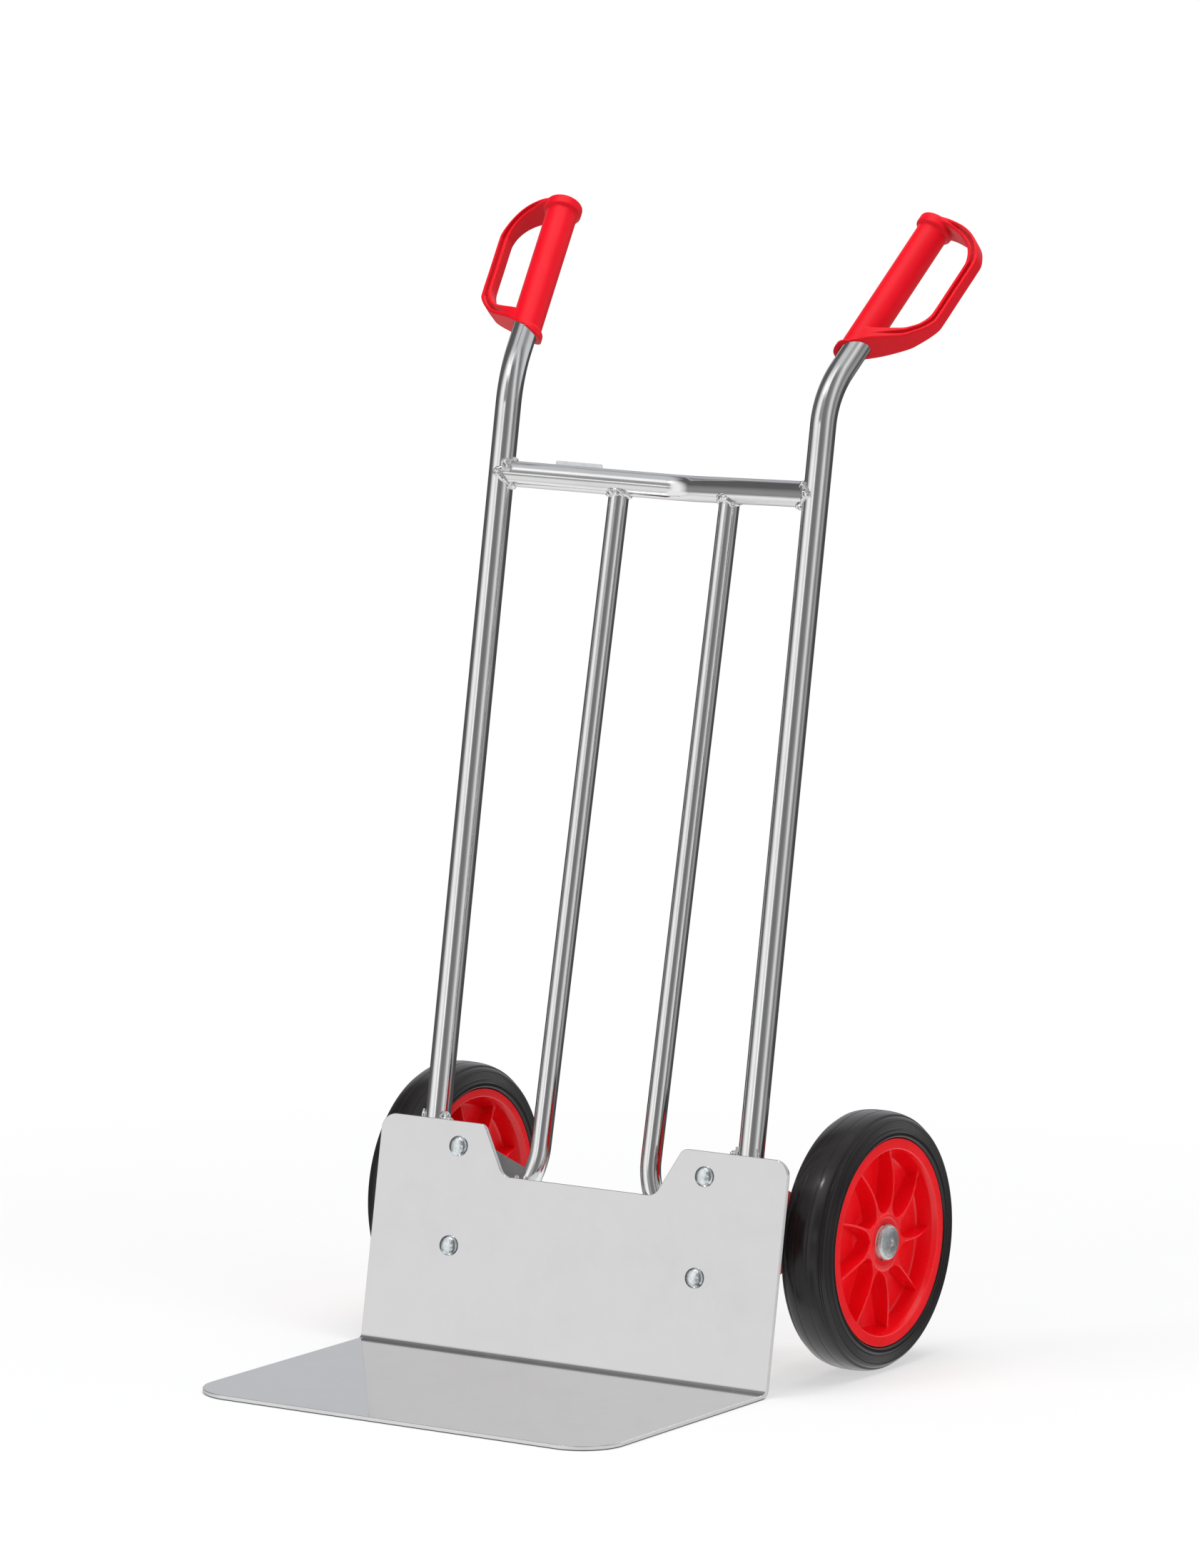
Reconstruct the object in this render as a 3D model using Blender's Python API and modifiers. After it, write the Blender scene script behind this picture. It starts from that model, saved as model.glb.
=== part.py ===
"""Two-wheeled hand truck: bent aluminium tube frame, bolted-on toe plate, solid rubber
wheels on plastic rims, and plastic handle grips with guard loops.

World frame: +Z up, -Y is the load side, +X is the truck's left-hand wheel seen from behind
(the right-hand wheel seen from the load side). The truck rests on its toe plate and wheels.
"""
import bmesh
import bpy
from math import atan, cos, pi, radians, sin, tan
from mathutils import Matrix, Vector

# ---- driving dimensions (metres, degrees) -------------------------------------------
SHIFT_Y = -0.0224        # moves the bend-line frame so that the box is centred on Y = 0
LEAN = radians(9.85)     # lean of the frame, back from vertical
SHEET = 0.0045           # toe plate sheet
PLATE_HALF = 0.2320      # half width of the toe plate
TOE_DEPTH = 0.2925       # from the bend line to the front edge
TOE_CORNER = 0.050
BEND_IN = 0.006          # inner radius of the plate's bend
EAR_TOP = 0.2200         # height of the ears, measured up the slope
NOTCH = 0.1720           # height of the notch's floor
TUBE_R, TUBE_WALL = 0.0125, 0.0020
UPRIGHT_X = 0.1792       # half spacing of the uprights
UPRIGHT_N = 0.0173       # upright axis behind the plate's front face
UPRIGHT_LOW, KNEE = 0.020, 0.9447
KNEE_R = 0.095
HANDLE_DIR = Vector((0.1618, 0.6781, 0.7170)).normalized()
GRIP_START, GRIP_LEN = 0.0485, 0.1675
CROSS_T, CROSS_BACK, CROSS_R = 0.8488, 0.0516, 0.060
INNER_R, INNER_WALL = 0.0100, 0.0016
INNER_X, INNER_LEAN, INNER_RUN, INNER_BEND = 0.0631, radians(12.045), 0.7190, 0.078
BRACKET_IN, WEB_IN, WEB_OUT = 0.1150, 0.1612, 0.1662
FLANGE_N = (SHEET + 0.0003, SHEET + 0.0053)
AXLE_Y, AXLE_Z, AXLE_R, AXLE_HALF = 0.1725, 0.1250, 0.0100, 0.2615
WHEEL_X, TYRE_R, RIM_R = 0.2378, 0.1250, 0.1000
BOLT_X, BOLT_T = 0.1405, (0.0995, 0.1960)
GAP = 0.0003

# ---- scene ---------------------------------------------------------------------------
for old in list(bpy.data.objects):
    bpy.data.objects.remove(old, do_unlink=True)
scene = bpy.context.scene
parts = bpy.data.collections.new("hand_truck")
cutters = bpy.data.collections.new("cutters")
for made in (parts, cutters):
    scene.collection.children.link(made)
root = bpy.data.objects.new("hand_truck_origin", None)
root.location = (0, SHIFT_Y, 0)
parts.objects.link(root)


def material(name, colour, rough, metal):
    made = bpy.data.materials.new(name)
    made.use_nodes = True
    shader = made.node_tree.nodes["Principled BSDF"]
    shader.inputs["Base Color"].default_value = (*colour, 1)
    shader.inputs["Roughness"].default_value = rough
    shader.inputs["Metallic"].default_value = metal
    return made


ALU = material("polished_aluminium", (0.80, 0.81, 0.82), 0.18, 1.0)
SHEET_ALU = material("sheet_aluminium", (0.66, 0.66, 0.67), 0.42, 1.0)
ZINC = material("zinc_steel", (0.72, 0.75, 0.78), 0.28, 1.0)
STEEL = material("turned_steel", (0.50, 0.51, 0.53), 0.35, 1.0)
RUBBER = material("black_rubber", (0.020, 0.019, 0.019), 0.62, 0.0)
RED_RIM = material("red_rim_plastic", (0.72, 0.015, 0.020), 0.28, 0.0)
RED_GRIP = material("red_grip_plastic", (0.78, 0.020, 0.035), 0.45, 0.0)
NYLON = material("white_nylon", (0.78, 0.77, 0.73), 0.45, 0.0)
LABEL = material("label_plastic", (0.82, 0.83, 0.84), 0.40, 0.0)

# ---- frame of the leaning plate: X across, t up the slope, n back through the sheet ---
UP = Vector((0, sin(LEAN), cos(LEAN)))
BACK = Vector((0, cos(LEAN), -sin(LEAN)))
ORIGIN = Vector((0, 0, SHEET))


def slope(x, t, n=0.0):
    return ORIGIN + Vector((x, 0, 0)) + UP * t + BACK * n


SLOPE_BASIS = Matrix(((1, 0, 0), (0, UP.y, BACK.y), (0, UP.z, BACK.z))).to_4x4()


def place(obj, material_, collection=None):
    (collection or parts).objects.link(obj)
    if collection is cutters:
        obj.hide_render = True
        obj.display_type = "WIRE"
    else:
        obj.data.materials.append(material_)
    obj.parent = root
    return obj


def smooth(mesh, angle=35):
    mesh.shade_smooth()
    mesh.set_sharp_from_angle(angle=radians(angle))


def mesh_object(name, bm, material_=None, collection=None, matrix=None, angle=35):
    bmesh.ops.recalc_face_normals(bm, faces=bm.faces)
    mesh = bpy.data.meshes.new(name)
    bm.to_mesh(mesh)
    bm.free()
    smooth(mesh, angle)
    obj = bpy.data.objects.new(name, mesh)
    if matrix is not None:
        obj.matrix_basis = matrix
    return place(obj, material_, collection)


def cut(obj, *tools, operation="DIFFERENCE"):
    for tool in tools:
        boolean = obj.modifiers.new(operation.lower() + "_" + tool.name, "BOOLEAN")
        boolean.operation = operation
        boolean.object = tool
        boolean.solver = "EXACT"
    return obj


def prism(points, low, high):
    """A flat outline in x, y, pulled out from z = low to z = high."""
    bm = bmesh.new()
    ring = [bm.verts.new((x, y, low)) for x, y in points]
    face = bm.faces.new(ring)
    made = bmesh.ops.extrude_face_region(bm, geom=[face])
    bmesh.ops.translate(bm, vec=(0, 0, high - low), verts=[v for v in made["geom"] if isinstance(v, bmesh.types.BMVert)])
    return bm


def cylinder(radius, length, sides=32):
    bm = bmesh.new()
    bmesh.ops.create_cone(bm, cap_ends=True, segments=sides, radius1=radius, radius2=radius, depth=length)
    return bm


def rounded(points, radii, steps=6):
    """Rounds the corners of a closed 2D outline."""
    out = []
    for i, (here, radius) in enumerate(zip(points, radii)):
        p, a, b = Vector(here), Vector(points[i - 1]), Vector(points[(i + 1) % len(points)])
        if radius <= 0:
            out.append(tuple(p))
            continue
        u, v = (a - p).normalized(), (b - p).normalized()
        half = u.angle(v) / 2
        reach = radius / tan(half)
        centre = p + (u + v).normalized() * (radius / sin(half))
        start, end = p + u * reach - centre, p + v * reach - centre
        turn = start.angle_signed(end)
        for k in range(steps + 1):
            angle = -turn * k / steps
            out.append((centre.x + start.x * cos(angle) - start.y * sin(angle), centre.y + start.x * sin(angle) + start.y * cos(angle)))
    return out


def filleted(points, radii, steps=6):
    """A 3D polyline with its inner corners turned into arcs."""
    out = [Vector(points[0])]
    for i in range(1, len(points) - 1):
        p, a, b = (Vector(q) for q in (points[i], points[i - 1], points[i + 1]))
        u, v = (a - p).normalized(), (b - p).normalized()
        half = u.angle(v) / 2
        reach = radii[i - 1] / tan(half)
        centre = p + (u + v).normalized() * (radii[i - 1] / sin(half))
        start, end = p + u * reach - centre, p + v * reach - centre
        sweep = start.angle(end)
        for k in range(steps + 1):
            f = k / steps
            out.append(centre + (start * sin((1 - f) * sweep) + end * sin(f * sweep)) / sin(sweep))
    out.append(Vector(points[-1]))
    return out


def tube_curve(name, points, radius, sides=16, caps=False):
    curve = bpy.data.curves.new(name, "CURVE")
    curve.dimensions = "3D"
    curve.bevel_depth = radius
    curve.bevel_resolution = (sides - 4) // 2
    curve.use_fill_caps = caps
    curve.twist_mode = "MINIMUM"
    spline = curve.splines.new("POLY")
    spline.points.add(len(points) - 1)
    for point, co in zip(spline.points, points):
        point.co = (*co, 1)
    return bpy.data.objects.new(name, curve)


def curve_mesh(name, points, radius, sides=20, caps=False):
    """The swept mesh of a curve, with its caps welded."""
    guide = tube_curve(name + "_guide", points, radius, sides, caps)
    cutters.objects.link(guide)
    bpy.context.view_layer.update()
    mesh = bpy.data.meshes.new_from_object(guide.evaluated_get(bpy.context.evaluated_depsgraph_get()))
    bpy.data.objects.remove(guide, do_unlink=True)
    bm = bmesh.new()
    bm.from_mesh(mesh)
    bmesh.ops.remove_doubles(bm, verts=bm.verts, dist=1e-6)
    bmesh.ops.recalc_face_normals(bm, faces=bm.faces)
    bpy.data.meshes.remove(mesh)
    return bm


def hollow_tube(name, points, radius, wall, material_, sides=16):
    bm = curve_mesh(name, points, radius, sides)
    # An open tube's normals point away from its axis, so that the wall grows inwards.
    face = min(bm.faces, key=lambda f: (f.calc_center_median() - points[0]).length)
    away = face.calc_center_median() - points[0]
    axis = (points[1] - points[0]).normalized()
    if face.normal.dot(away - axis * away.dot(axis)) < 0:
        bmesh.ops.reverse_faces(bm, faces=bm.faces)
    mesh = bpy.data.meshes.new(name)
    bm.to_mesh(mesh)
    bm.free()
    smooth(mesh)
    obj = place(bpy.data.objects.new(name, mesh), material_)
    wall_mod = obj.modifiers.new("wall", "SOLIDIFY")
    wall_mod.thickness = wall
    wall_mod.offset = -1
    return obj


def turned(name, profile, material_, x=0.0, side=1, steps=48, y=AXLE_Y, z=AXLE_Z):
    """A profile of (distance along the axle, radius) turned round the axle's line."""
    turn = sum(r1 * h2 - r2 * h1 for (h1, r1), (h2, r2) in zip(profile, profile[1:] + profile[:1]))
    if turn > 0:                              # the outer side has to run from top to bottom
        profile = profile[::-1]
    bm = bmesh.new()
    verts = [bm.verts.new((r, 0, h)) for h, r in profile]
    for a, b in zip(verts, verts[1:] + verts[:1]):
        if a.co.x > 1e-7 or b.co.x > 1e-7:
            bm.edges.new((a, b))
    mesh = bpy.data.meshes.new(name)
    bm.to_mesh(mesh)
    bm.free()
    obj = place(bpy.data.objects.new(name, mesh), material_)
    obj.location = (x * side, y, z)
    obj.rotation_euler = (0, side * pi / 2, 0)
    screw = obj.modifiers.new("turn", "SCREW")
    screw.axis = "Z"
    screw.angle = 2 * pi
    screw.steps = screw.render_steps = steps
    screw.use_merge_vertices = True
    screw.merge_threshold = 1e-5
    screw.use_smooth_shade = True
    return obj


SIDES = (("left", -1), ("right", 1))

# ---- toe plate: one bent sheet with ears, a notch and rounded toe corners -------------
def bent_sheet():
    fold = pi / 2 - LEAN                      # turn from the toe to the back
    inside, outside = [], []
    reach = BEND_IN * tan(fold / 2)
    centre_y, centre_z = -reach, SHEET + BEND_IN
    for k in range(9):
        turn = fold * k / 8
        dy, dz = sin(turn), -cos(turn)
        inside.append((centre_y + BEND_IN * dy, centre_z + BEND_IN * dz))
        outside.append((centre_y + (BEND_IN + SHEET) * dy, centre_z + (BEND_IN + SHEET) * dz))
    top_in, top_out = slope(0, EAR_TOP), slope(0, EAR_TOP, SHEET)
    loop = [(-TOE_DEPTH, 0.0)] + outside + [(top_out.y, top_out.z), (top_in.y, top_in.z)] + inside[::-1] + [(-TOE_DEPTH, SHEET)]
    return prism(loop, -PLATE_HALF, PLATE_HALF)


YZ_TO_X = Matrix(((0, 0, 1, 0), (1, 0, 0, 0), (0, 1, 0, 0), (0, 0, 0, 1)))  # outline (y, z) pulled along X
toe_plate = mesh_object("toe_plate", bent_sheet(), SHEET_ALU, matrix=YZ_TO_X)
ear = [(-0.30, 0.12), (-PLATE_HALF, 0.12), (-PLATE_HALF, EAR_TOP), (-0.1135, EAR_TOP), (-0.0868, NOTCH),
       (0.0868, NOTCH), (0.1135, EAR_TOP), (PLATE_HALF, EAR_TOP), (PLATE_HALF, 0.12), (0.30, 0.12), (0.30, 0.26), (-0.30, 0.26)]
outside_ears = rounded(ear, [0, 0, 0.016, 0.010, 0.014, 0.014, 0.010, 0.016, 0, 0, 0, 0])
ear_cutter = mesh_object("ear_cutter", prism(outside_ears, -0.02, 0.02), collection=cutters,
                         matrix=Matrix.Translation(ORIGIN) @ SLOPE_BASIS)
toe = [(-0.30, -0.20), (-PLATE_HALF, -0.20), (-PLATE_HALF, -TOE_DEPTH), (PLATE_HALF, -TOE_DEPTH), (PLATE_HALF, -0.20),
       (0.30, -0.20), (0.30, -0.35), (-0.30, -0.35)]
toe_cutter = mesh_object("toe_corner_cutter", prism(rounded(toe, [0, 0, TOE_CORNER, TOE_CORNER, 0, 0, 0, 0], 10), -0.02, 0.02), collection=cutters)
cut(toe_plate, ear_cutter, toe_cutter)

# ---- bolts through plate and bracket ---------------------------------------------------
def on_slope(x, t, n):
    return Matrix.Translation(slope(x, t, n)) @ SLOPE_BASIS


bolt_cutters = []
for name, side in SIDES:
    for level, t in zip(("lower", "upper"), BOLT_T):
        tag = f"{name}_{level}"
        hole = mesh_object(f"bolt_hole_{tag}", cylinder(0.0044, 0.030, 16), collection=cutters, matrix=on_slope(side * BOLT_X, t, 0.005))
        bolt_cutters.append((side, hole))
        # mushroom-head bolt: the profile runs from the dome's crown to the shank's end
        head = [(-0.0046 - GAP, 0.0)] + [(-0.0046 * cos(a * pi / 12) - GAP, 0.0098 * sin(a * pi / 12)) for a in range(2, 6, 2)]
        head += [(-GAP, 0.0100), (-GAP, 0.0040), (0.0215, 0.0040), (0.0215, 0.0)]
        bolt = turned(f"plate_bolt_{tag}", head, ZINC, steps=16)
        bolt.matrix_basis = on_slope(side * BOLT_X, t, 0.0)
        back = FLANGE_N[1] + GAP
        washer = turned(f"plate_washer_{tag}", [(back, 0.0043), (back, 0.0084), (back + 0.0016, 0.0084), (back + 0.0016, 0.0043)], ZINC, steps=16)
        washer.matrix_basis = on_slope(side * BOLT_X, t, 0.0)
        nut_bm = cylinder(0.0075, 0.0065, 6)
        nut = mesh_object(f"plate_nut_{tag}", nut_bm, ZINC, matrix=on_slope(side * BOLT_X, t, back + 0.0016 + GAP + 0.00325))
        bore = mesh_object(f"nut_bore_{tag}", cylinder(0.0043, 0.012, 16), collection=cutters, matrix=on_slope(side * BOLT_X, t, back + 0.0016 + GAP + 0.00325))
        cut(nut, bore)
cut(toe_plate, *[hole for _, hole in bolt_cutters])

# ---- uprights with their handles -------------------------------------------------------
def mirrored(points, side):
    return [Vector((p.x * side, p.y, p.z)) for p in points]


knee = slope(UPRIGHT_X, KNEE, UPRIGHT_N)
grip_base = knee + HANDLE_DIR * GRIP_START
upright_path = filleted([slope(UPRIGHT_X, UPRIGHT_LOW, UPRIGHT_N), knee, knee + HANDLE_DIR * (GRIP_START + 0.158)], [KNEE_R])
for name, side in SIDES:
    hollow_tube(f"upright_{name}", mirrored(upright_path, side), TUBE_R, TUBE_WALL, ALU)

# ---- cross tube, set back in the middle for round loads --------------------------------
cross_path = filleted([slope(-UPRIGHT_X, CROSS_T, UPRIGHT_N), slope(0, CROSS_T, UPRIGHT_N + CROSS_BACK), slope(UPRIGHT_X, CROSS_T, UPRIGHT_N)], [CROSS_R])
cross_tube = hollow_tube("cross_tube", cross_path, TUBE_R, TUBE_WALL, ALU)
upright_cutters = []
for name, side in SIDES:
    line = mirrored([slope(UPRIGHT_X, CROSS_T - 0.05, UPRIGHT_N), slope(UPRIGHT_X, CROSS_T + 0.04, UPRIGHT_N)], side)
    cope = mesh_object(f"cope_upright_{name}", curve_mesh("cope", line, TUBE_R + GAP, 24, True), collection=cutters)
    upright_cutters.append(cope)
cut(cross_tube, *upright_cutters)

# ---- inner tubes: coped under the cross tube, turned out to the brackets at the bottom --
cross_solid = mesh_object("cope_cross", curve_mesh("cope_cross", cross_path, TUBE_R + GAP, 24, True), collection=cutters)
lean_in = Vector((0, sin(INNER_LEAN), cos(INNER_LEAN)))
inner_top = slope(INNER_X, CROSS_T, UPRIGHT_N + CROSS_BACK * (1 - INNER_X / UPRIGHT_X))
inner_turn = inner_top - lean_in * INNER_RUN
inner_end = inner_turn + Vector((WEB_IN - GAP - INNER_X, 0, -0.004))
inner_path = filleted([inner_top, inner_turn, inner_end], [INNER_BEND])
# The bottom end is cut off square to X, against the bracket's web.
past_end = inner_end + (inner_end - inner_turn).normalized() * 0.02
inner_path[-1] = past_end
for name, side in SIDES:
    obj = hollow_tube(f"inner_tube_{name}", mirrored(inner_path, side), INNER_R, INNER_WALL, ALU)
    bm = bmesh.new()
    bmesh.ops.create_cube(bm, size=1.0, matrix=Matrix.Translation((side * (WEB_IN - GAP + 0.04), 0.06, 0.14)) @ Matrix.Diagonal((0.08, 0.16, 0.16, 1)))
    end_cutter = mesh_object(f"inner_end_cutter_{name}", bm, collection=cutters)
    cut(obj, cross_solid, end_cutter)

# ---- axle brackets: a flange behind the plate and a web out to the axle ----------------
front_low, front_top = slope(0, 0.058, FLANGE_N[0]), slope(0, 0.2190, FLANGE_N[0])
web = [(front_low.y, front_low.z), (0.2010, 0.1080), (0.2010, 0.1415), (front_top.y, front_top.z)]
web = rounded(web, [0.004, 0.020, 0.018, 0.004])
for name, side in SIDES:
    low, high = sorted((side * WEB_IN, side * WEB_OUT))
    bracket = mesh_object(f"axle_bracket_{name}", prism(web, low, high), STEEL, matrix=YZ_TO_X)
    edge_in, edge_out = sorted((side * BRACKET_IN, side * (WEB_IN + 0.002)))
    corners = [(edge_in, 0.0600), (edge_out, 0.0600), (edge_out, 0.2180), (edge_in, 0.2180)]
    radii = [0.010, 0.0, 0.0, 0.010] if side > 0 else [0.0, 0.010, 0.010, 0.0]
    flange = mesh_object(f"flange_{name}", prism(rounded(corners, radii), *FLANGE_N), collection=cutters, matrix=Matrix.Translation(ORIGIN) @ SLOPE_BASIS)
    hole = mesh_object(f"axle_hole_{name}", cylinder(AXLE_R + GAP, 0.04, 24), collection=cutters,
                       matrix=Matrix.Translation((side * WEB_IN, AXLE_Y, AXLE_Z)) @ Matrix.Rotation(pi / 2, 4, "Y"))
    cut(bracket, flange, operation="UNION")
    cut(bracket, hole, *[bolt_hole for s, bolt_hole in bolt_cutters if s == side])

# ---- axle and what sits on it -----------------------------------------------------------
axle_profile = [(AXLE_HALF, 0.0), (AXLE_HALF, AXLE_R - 0.001), (AXLE_HALF - 0.001, AXLE_R), (-AXLE_HALF + 0.001, AXLE_R), (-AXLE_HALF, AXLE_R - 0.001), (-AXLE_HALF, 0.0)]
turned("axle", axle_profile, STEEL, steps=24)


def ring(name, side, inner, outer, start, end, material_, steps=20):
    return turned(name, [(start, inner), (end, inner), (end, outer), (start, outer)], material_, side=side, steps=steps)


BORE = AXLE_R + GAP
for name, side in SIDES:
    ring(f"axle_spacer_{name}", side, BORE, 0.0140, WEB_OUT + GAP, 0.2040, ZINC)
    ring(f"inner_washer_{name}", side, BORE, 0.0170, 0.2043, 0.2059, ZINC)
    ring(f"outer_washer_{name}", side, BORE, 0.0170, 0.2576, 0.2588, ZINC)
    # flanged bushes pushed into the hub from both sides
    for place_name, flange_at, sleeve_to, out in (("inner", 0.2082, 0.2315, -1), ("outer", 0.2553, 0.2340, 1)):
        face = flange_at + out * 0.0020
        turned(f"hub_bush_{place_name}_{name}", [(face, BORE), (face, 0.0165), (flange_at, 0.0165), (flange_at, 0.0127), (sleeve_to, 0.0127), (sleeve_to, BORE)], NYLON, side=side, steps=24)
    # domed push-on cap over the axle's end
    base, crown = 0.2591, 0.2650
    dome = [(base + (crown - base) * cos(a * pi / 12), 0.0174 * sin(a * pi / 12)) for a in range(0, 6)] + [(base + 0.0008, 0.0176)]
    turned(f"axle_cap_{name}", dome + [(base, 0.0174), (base, BORE), (AXLE_HALF + GAP, BORE), (AXLE_HALF + GAP, 0.0)], ZINC, side=side, steps=24)

# ---- wheels ------------------------------------------------------------------------------
W = WHEEL_X
HALF = 0.0243
rim_profile = [  # (along the axle, radius): barrel, centre web and hub, from the outer lip round
    (W + HALF, 0.1000), (W + HALF - 0.0030, 0.1000), (W + HALF - 0.0036, 0.0955), (W - HALF + 0.0036, 0.0955), (W - HALF + 0.0030, 0.1000), (W - HALF, 0.1000),
    (W - HALF, 0.0880), (W - 0.0030, 0.0845), (W - 0.0025, 0.0225), (0.2085, 0.0225), (0.2085, 0.0130),
    (0.2550, 0.0130), (0.2550, 0.0178), (0.2570, 0.0178), (0.2570, 0.0235), (W + 0.0025, 0.0235), (W + 0.0030, 0.0845), (W + HALF, 0.0880)]
tyre_profile = [
    (W + 0.0203, 0.0960), (W + 0.0208, 0.1004), (W + 0.0246, 0.1006), (W + 0.0259, 0.1065), (W + 0.0250, 0.1145), (W + 0.0215, 0.1203),
    (W + 0.0165, 0.1237), (W + 0.0080, 0.1248), (W, 0.1250)]
tyre_profile = tyre_profile + [(2 * W - h, r) for h, r in tyre_profile[-2::-1]]
RIBS = 9
for name, side in SIDES:
    rim = turned(f"rim_{name}", rim_profile, RED_RIM, side=side, steps=36)
    # nine ribs on each face of the web, sloping back from the hub to the barrel
    for face, out in (("outer", 1), ("inner", -1)):
        bm = bmesh.new()
        for k in range(RIBS):
            around = 2 * pi * (k + (0.0 if out > 0 else 0.5)) / RIBS + radians(7)
            rib = prism([(0.0215, 0.0), (0.0215, 0.0150), (0.0500, 0.0190), (0.0855, 0.0120), (0.0855, 0.0)], -0.0017, 0.0017)
            # outline (radius, along the axle) stood up in the plane of the axle's line
            bmesh.ops.transform(rib, matrix=Matrix(((0, out, 0, W * 1.0 + out * 0.0015), (1, 0, 0, 0), (0, 0, 1, 0), (0, 0, 0, 1))), verts=rib.verts)
            bmesh.ops.transform(rib, matrix=Matrix.Rotation(around, 4, "X"), verts=rib.verts)
            bmesh.ops.recalc_face_normals(rib, faces=rib.faces)
            held = bpy.data.meshes.new("rib")
            rib.to_mesh(held)
            rib.free()
            bm.from_mesh(held)
            bpy.data.meshes.remove(held)
        if side < 0:
            bmesh.ops.scale(bm, vec=(-1, 1, 1), verts=bm.verts)
            bmesh.ops.reverse_faces(bm, faces=bm.faces)
        ribs = mesh_object(f"ribs_{face}_{name}", bm, collection=cutters, matrix=Matrix.Translation((0, AXLE_Y, AXLE_Z)))
        cut(rim, ribs, operation="UNION")
    turned(f"tyre_{name}", tyre_profile, RUBBER, side=side, steps=36)

# ---- grips: a sleeve over the handle's end, with a guard loop outside the hand -----------
# Guard stations: outer point (out, up), inner point (out, up), front and back edge.
guard = [
    (0.0, 167.0, 0.0, 160.5, 14.6, -14.6), (17.0, 168.0, 16.0, 161.0, 13.5, -16.5), (33.0, 166.5, 27.0, 159.0, 9.0, -17.0), (44.5, 162.5, 37.0, 155.5, 5.5, -16.6),
    (53.0, 156.0, 44.5, 150.0, 2.8, -15.8), (59.0, 148.5, 50.0, 142.5, 1.0, -15.0), (63.5, 139.5, 53.5, 134.0, -0.4, -14.4), (65.0, 130.0, 54.5, 126.0, -1.0, -14.0),
    (65.0, 96.0, 54.5, 98.0, -1.0, -14.0), (65.0, 62.0, 54.5, 69.5, -1.0, -14.0), (63.0, 54.5, 53.0, 60.5, -0.4, -14.4), (58.0, 46.5, 49.0, 52.0, 1.0, -15.0), (51.5, 39.0, 44.0, 46.0, 3.0, -15.8),
    (44.0, 31.5, 38.5, 41.0, 5.0, -16.4), (30.0, 22.6, 27.5, 34.5, 9.5, -17.0), (15.0, 14.1, 14.0, 28.0, 13.8, -16.8), (0.0, 5.5, 0.0, 23.0, 14.6, -14.6)]
FOOT_RISE = atan(0.57)   # the lower end is cut on a slant, rising outwards


def grip_basis(side):
    up = Vector((HANDLE_DIR.x * side, HANDLE_DIR.y, HANDLE_DIR.z))
    out = Vector((side, 0, 0))
    out = (out - up * out.dot(up)).normalized()
    front = up.cross(out).normalized()
    front = front if front.y < 0 else -front
    base = Vector((grip_base.x * side, grip_base.y, grip_base.z))
    return Matrix(((out.x, front.x, up.x, base.x), (out.y, front.y, up.y, base.y), (out.z, front.z, up.z, base.z), (0, 0, 0, 1)))


for name, side in SIDES:
    basis = grip_basis(side)
    # local axes: x out, y to the front, z up along the handle
    bm = bmesh.new()
    rings = [[bm.verts.new((p[0] / 1000, p[1] / 1000, p[2] / 1000)) for p in ((ao, bf, so), (ai, bf, si), (ai, bb, si), (ao, bb, so))]
             for ao, so, ai, si, bf, bb in guard]
    for one, two in zip(rings, rings[1:]):
        for k in range(4):
            bm.faces.new((one[k], one[(k + 1) % 4], two[(k + 1) % 4], two[k]))
    bm.faces.new(rings[0])
    bm.faces.new(rings[-1][::-1])
    bmesh.ops.recalc_face_normals(bm, faces=bm.faces)
    loop = mesh_object(f"guard_{name}", bm, collection=cutters, matrix=basis)
    sleeve = [(0.1675, 0.0), (0.1675, 0.0165), (0.1655, 0.0186), (0.1565, 0.0186), (0.1545, 0.0155), (0.0060, 0.0155), (0.0040, 0.0184), (-0.0120, 0.0186), (-0.0120, 0.0)]
    grip = turned(f"grip_{name}", sleeve, RED_GRIP, steps=24)
    grip.matrix_basis = basis
    bore = mesh_object(f"grip_bore_{name}", cylinder(TUBE_R + GAP, 0.1800, 24), collection=cutters, matrix=basis @ Matrix.Translation((0, 0, 0.0900 - 0.0200)))
    slant = Matrix.Translation((0, 0, 0.0055)) @ Matrix.Rotation(-FOOT_RISE, 4, "Y") @ Matrix.Translation((0, 0, -0.025)) @ Matrix.Diagonal((0.070, 0.060, 0.050, 1))
    bm = bmesh.new()
    bmesh.ops.create_cube(bm, size=1.0, matrix=slant)
    below = mesh_object(f"grip_slant_{name}", bm, collection=cutters, matrix=basis)
    cut(grip, loop, operation="UNION")
    cut(grip, bore, below)

# ---- blank type plate standing up behind the cross tube ----------------------------------
half_turn = atan(CROSS_BACK / UPRIGHT_X)
label = prism([(-0.026, 0.0), (0.026, 0.0), (0.0235, 0.0250), (-0.0235, 0.0250)], 0.0, 0.0010)
where = slope(-0.1085, CROSS_T - 0.0080, UPRIGHT_N + CROSS_BACK * (1 - 0.1085 / UPRIGHT_X))
turn = Matrix.Rotation(half_turn, 4, UP)
behind = (turn @ BACK) * (TUBE_R + GAP)
mesh_object("type_plate", label, LABEL, matrix=Matrix.Translation(where + behind) @ turn @ SLOPE_BASIS)
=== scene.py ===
"""Looks for the hand truck: smooth tubes and welds, bent plate, wheels, grips, studio light."""
from math import atan, ceil, cos, exp as math_exp, pi, radians, sin, sqrt, tan

import bmesh
import bpy
from mathutils import Matrix, Vector, noise


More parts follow.
